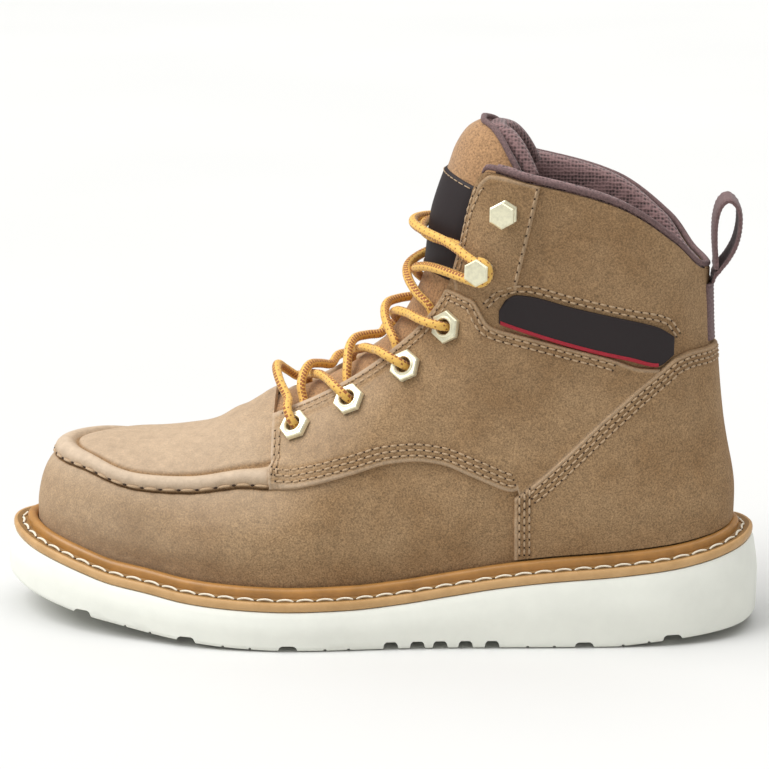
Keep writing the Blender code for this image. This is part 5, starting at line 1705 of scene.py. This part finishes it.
def hexagon(radius, turn):
    """Radius of a hexagon with a corner up, at each turn."""
    folded = (turn - math.pi / 6) % (math.pi / 3) - math.pi / 6
    return radius * math.cos(math.pi / 6) / np.cos(folded)


def turned_rings(rings, closed_end):
    turn = 2 * math.pi * np.arange(RING_SIDES) / RING_SIDES
    local = []
    for kind, radius, out in rings:
        reach = hexagon(radius, turn) if kind == "hex" else radius + 0.0 * turn
        local.append(np.stack([reach * np.cos(turn), reach * np.sin(turn), 0.0 * turn + out], axis=1))
    faces = [tuple(f) for f in grid(len(rings), RING_SIDES, not closed_end, True)]
    if closed_end:
        faces.append(tuple(range(RING_SIDES)))
        faces.append(tuple(range((len(rings) - 1) * RING_SIDES, len(rings) * RING_SIDES)))
    return np.concatenate(local), faces


def build_fittings():
    base = FITTING_BASE
    top = base + EYELET_THICKNESS
    washer = (("hex", EYELET_RADIUS, base - 0.0006), ("hex", EYELET_RADIUS, base + EYELET_THICKNESS * 0.45),
              ("hex", EYELET_RADIUS * 0.97, base + EYELET_THICKNESS * 0.75),
              ("hex", EYELET_RADIUS * 0.9, top),
              ("round", EYELET_HOLE + 0.0012, top), ("round", EYELET_HOLE + 0.0009, top + 0.0003),
              ("round", EYELET_HOLE + 0.0004, top + 0.0004), ("round", EYELET_HOLE, top),
              ("round", EYELET_HOLE - 0.0001, top - 0.0008), ("round", EYELET_HOLE, base - 0.0006))
    shaft = HOOK_SHANK_RADIUS
    head = base + HOOK_HEIGHT
    stud = (("hex", HOOK_BASE_RADIUS * 1.16, base - 0.0006), ("hex", HOOK_BASE_RADIUS * 1.16, base + 0.0006),
            ("hex", HOOK_BASE_RADIUS, base + 0.0010), ("round", shaft * 1.2, base + 0.0013),
            ("round", shaft, base + 0.0018), ("round", shaft, head - HOOK_HEAD * 1.3),
            ("round", shaft * 1.2, head - HOOK_HEAD), ("hex", HOOK_RADIUS * 0.96, head - HOOK_HEAD),
            ("hex", HOOK_RADIUS, head - HOOK_HEAD * 0.75), ("hex", HOOK_RADIUS, head - HOOK_HEAD * 0.3),
            ("hex", HOOK_RADIUS * 0.88, head), ("round", HOOK_RADIUS * 0.5, head + 0.0001))
    for side, word in ((-1, "lateral"), (1, "medial")):
        for number, place in enumerate(EYELETS, 1):
            point, normal = spot(place, side)
            local, faces = turned_rings(washer, False)
            make_piece(f"washer_{word}_{number}", seat(point, normal, UPWARD, local), faces,
                       [FINISHES["brass"]], [f"eyelet_{word}_{number}"], "fitting", 24)
            # A dark disc set in the washer's hole: painted shade inside the eyelet
            disc = turned_rings((("round", EYELET_HOLE + 0.0002, 0.0012), ("round", 0.0002, 0.0011)), True)
            make_piece(f"eyelet_shade_disc_{word}_{number}", seat(point, normal, UPWARD, disc[0]), disc[1],
                       [FINISHES["hole"]])
        for number, place in enumerate(HOOKS, 1):
            point, normal = spot(place, side)
            local, faces = turned_rings(stud, True)
            make_piece(f"stud_{word}_{number}", seat(point, normal, UPWARD, local), faces,
                       [FINISHES["brass"]], [f"hook_{word}_{number}"], "fitting", 24)


class BootFittings(bpy.types.Operator):
    """Builds the hexagonal eyelet washers and lace hooks"""

    bl_idname = "boot.fittings"
    bl_label = "Eyelets and hooks"

    def execute(self, context):
        build_fittings()
        return {"FINISHED"}


LACE_SIDES = 16
LACE_STEP = 0.00055


def edge_point(along, side, offset, beyond=0.0):
    """Point at the throat's edge, raised by an offset and moved on past the edge."""
    t = np.atleast_1d(station(along * SOLE_LENGTH, side))
    point, normal, up = collar_frames(t)
    return point[0] + normal[0] * offset + up[0] * beyond


def tongue_share(point):
    s = np.linspace(0.0, 1.0, 160)
    a = np.linspace(-1.0, 1.0, 61)
    grid_s, grid_a = np.meshgrid(s, a, indexing="ij")
    gap = np.linalg.norm(on_tongue(grid_s, grid_a) - point, axis=-1)
    k = int(gap.argmin())
    return grid_s.flat[k], grid_a.flat[k]


def over_tongue(start, end, shares, lifts):
    first = tongue_share(start)
    last = tongue_share(end)
    path = []
    for share, lift in zip(shares, lifts):
        s = first[0] + (last[0] - first[0]) * share
        a = first[1] + (last[1] - first[1]) * share
        path.append(on_tongue(s, a, LACE_RADIUS + lift))
    return path


def into_eyelet(place, side, coming_from):
    """Lace points over a washer's face and down its hole."""
    point, normal = spot(place, side)
    away = coming_from - point
    away = unit(away - normal * (away @ normal))
    face = FITTING_BASE + EYELET_THICKNESS
    return [point + away * 0.0072 + normal * (face + LACE_RADIUS * 1.15),
            point + away * 0.0040 + normal * (face + LACE_RADIUS * 1.05),
            point + away * 0.0008 + normal * (face + LACE_RADIUS * 0.1),
            point - away * 0.0002 - normal * 0.0030]


def hook_turn(place, side, turns):
    """Lace points round a hook's shank; turns are degrees, 0 towards the heel and 90 up."""
    point, normal = spot(place, side)
    radius = HOOK_SHANK_RADIUS + LACE_RADIUS
    height = FITTING_BASE + HOOK_HEIGHT * 0.45
    local = []
    for turn in turns:
        angle = math.radians(turn if side < 0 else 180 - turn)
        local.append((radius * math.cos(angle), radius * math.sin(angle), height))
    return list(seat(point, normal, UPWARD, local))


def build_laces():
    strands = []
    # Straight bar of the first row, over the tongue's foot from eyelet to eyelet
    ends = [edge_point(LACE_EDGES[0][1], side, 0.0048) for side in (-1, 1)]
    bar = into_eyelet(EYELETS[0], -1, ends[0])[::-1] + [ends[0]]
    bar += over_tongue(ends[0], ends[1], (0.2, 0.4, 0.6, 0.8), (0.0075, 0.0100, 0.0100, 0.0075))
    bar += [ends[1]] + into_eyelet(EYELETS[0], 1, ends[1])
    strands.append(bar)
    shares = (0.14, 0.32, 0.5, 0.68, 0.86)
    for row in range(3):
        for side in (-1, 1):
            out = edge_point(LACE_EDGES[row][0], side, -0.0010, LACE_RADIUS + 0.0006)
            hidden = edge_point(LACE_EDGES[row][0], side, -0.0042, -0.0060)
            over = edge_point(LACE_EDGES[row + 1][1], -side, 0.0048)
            high = (0.0030, 0.0052, 0.0058, 0.0040, 0.0028)
            low = (0.0016, 0.0016, 0.0014, 0.0022, 0.0026)
            path = [hidden, out] + over_tongue(out, over, shares, high if side < 0 else low)
            path += [over] + into_eyelet(EYELETS[row + 1], -side, over)
            strands.append(path)
    # Last row: to the lower hook, round it and back across the tongue
    for side in (-1, 1):
        out = edge_point(LACE_EDGES[3][0], side, -0.0010, LACE_RADIUS + 0.0006)
        hidden = edge_point(LACE_EDGES[3][0], side, -0.0042, -0.0060)
        wrap = hook_turn(HOOKS[0], -side, (-112, -80, -40, 0, 40, 80, 112))
        over = edge_point(0.1010, -side, 0.0052)
        high = (0.0026, 0.0044, 0.0050, 0.0040, 0.0030)
        low = (0.0014, 0.0014, 0.0016, 0.0026, 0.0034)
        lifts = high if side < 0 else low
        path = [hidden, out] + over_tongue(out, over, shares, lifts) + [over] + wrap
        back = edge_point(0.1110, -side, 0.0054)
        if side > 0:
            far = edge_point(0.1120, side, 0.0040)
            path += [back] + over_tongue(back, far, (0.2, 0.4, 0.6, 0.8), (0.0042, 0.0052, 0.0052, 0.0040))
            path += [far] + hook_turn(HOOKS[1], side, (-112, -80, -40, 0, 40))
        else:
            far = edge_point(0.1080, side, -0.0010, LACE_RADIUS + 0.0006)
            tucked = edge_point(0.1100, side, -0.0042, -0.0050)
            path += [back] + over_tongue(back, far, (0.2, 0.4, 0.6, 0.8), (0.0030, 0.0016, 0.0014, 0.0012))
            path += [far, tucked]
        strands.append(path)
    parts = []
    picks = []
    for strand in strands:
        line = curve_through(strand, LACE_STEP)
        count = len(line)
        row = np.arange(count)[:, None]
        turn = np.arange(LACE_SIDES)[None, :]
        relief = LACE_RADIUS * (1.0 + 0.055 * np.where((turn + row) % 2 == 0, 1.0, -1.0))
        points, faces = tube(line, relief, LACE_SIDES)
        # Brown yarns run in a zigzag down two opposite sides, with lone ticks between
        from_side = np.abs((turn + 4) % 8 - 4)
        zigzag = (from_side >= 3) & ((row + turn // 2) % 3 != 0)
        tick = (from_side == 1) & ((row + turn) % 6 == 0)
        marked = (zigzag | tick)[:-1]
        parts.append((points, faces))
        picks += list(marked.astype(int).reshape(-1)) + [0, 0]
    points, faces = joined(parts)
    make_piece("lace_braid", points, faces, [FINISHES["lace"], FINISHES["lace_mark"]], ["lace"], "lace_cord",
               None, picks)


class BootLaces(bpy.types.Operator):
    """Builds the two-tone braided lace through the eyelets and round the lower hooks"""

    bl_idname = "boot.laces"
    bl_label = "Lace"

    def execute(self, context):
        build_laces()
        return {"FINISHED"}


def add_sun(name, towards, strength, spread_angle):
    """A soft, even light from one side of the sky."""
    light = bpy.data.lights.new(name, "SUN")
    light.energy = strength
    light.angle = math.radians(spread_angle)
    item = bpy.data.objects.new(name, light)
    bpy.context.scene.collection.objects.link(item)
    item.rotation_euler = Vector(towards).to_track_quat("Z", "Y").to_euler()


class BootStage(bpy.types.Operator):
    """Sets the pale floor, the soft lights and the camera of the photograph"""

    bl_idname = "boot.stage"
    bl_label = "Stage"

    def execute(self, context):
        mesh = bpy.data.meshes.new("floor")
        corners = ((-1, -1), (1, -1), (1, 1), (-1, 1))
        mesh.from_pydata([(x * FLOOR_REACH, y * FLOOR_REACH, 0) for x, y in corners], [], [(0, 1, 2, 3)])
        floor = bpy.data.objects.new("floor", mesh)
        context.scene.collection.objects.link(floor)
        # Matt pale paint, rolled on: even and without gloss, with clouds half a metre wide
        mesh.materials.append(patterned("pale_floor", "TexNoise", {"Scale": per(500)},
                                        ((0.3, linear("D4D4D2")), (0.7, linear("D7D7D5"))), (0.1, 0.0002),
                                        Roughness=0.95))
        world = bpy.data.worlds.new("studio")
        context.scene.world = world
        world.use_nodes = True
        sky = world.node_tree.nodes["Background"]
        sky.inputs["Color"].default_value = (1.0, 1.0, 1.0, 1.0)
        sky.inputs["Strength"].default_value = SKY_STRENGTH
        for light in LIGHTS:
            add_sun(*light)
        lens = bpy.data.cameras.new("photo_camera")
        lens.lens = CAMERA_LENS
        lens.sensor_width = 36.0
        camera = bpy.data.objects.new("photo_camera", lens)
        context.scene.collection.objects.link(camera)
        camera.location = CAMERA_AT
        camera.rotation_euler = (Vector(CAMERA_AIM) - Vector(CAMERA_AT)).to_track_quat("-Z", "Y").to_euler()
        context.scene.camera = camera
        context.scene.view_settings.view_transform = "Standard"
        return {"FINISHED"}


class BootFinishes(bpy.types.Operator):
    """Makes the boot's materials from the colours in the sidebar"""

    bl_idname = "boot.finishes"
    bl_label = "Finishes"

    def execute(self, context):
        make_finishes(context.scene.boot_colours)
        return {"FINISHED"}


OPERATORS = (BootFinishes, BootStage, BootSole, BootUpper, BootPanels, BootTongue, BootCollar,
             BootFittings, BootLaces)


class BootPanel(bpy.types.Panel):
    """Lists the boot's steps, sizes and colours"""

    bl_idname = "VIEW3D_PT_boot"
    bl_label = "Work boot"
    bl_space_type = "VIEW_3D"
    bl_region_type = "UI"
    bl_category = "Boot"

    def draw(self, context):
        for operator in OPERATORS:
            self.layout.operator(operator.bl_idname)
        for group in (context.scene.boot_sizes, context.scene.boot_colours):
            for name in group.bl_rna.properties.keys():
                if name not in ("rna_type", "name"):
                    self.layout.prop(group, name)


CLASSES = (BootColours, BootSizes, *OPERATORS, BootPanel)


def register():
    for item in CLASSES:
        bpy.utils.register_class(item)
    bpy.types.Scene.boot_colours = PointerProperty(type=BootColours)
    bpy.types.Scene.boot_sizes = PointerProperty(type=BootSizes)


def unregister():
    del bpy.types.Scene.boot_sizes
    del bpy.types.Scene.boot_colours
    for item in reversed(CLASSES):
        bpy.utils.unregister_class(item)


def main():
    register()
    bpy.ops.boot.finishes()
    bpy.ops.boot.stage()
    bpy.ops.boot.sole()
    bpy.ops.boot.upper()
    bpy.ops.boot.panels()
    bpy.ops.boot.tongue()
    bpy.ops.boot.collar()
    bpy.ops.boot.fittings()
    bpy.ops.boot.laces()


if __name__ == "__main__":
    main()
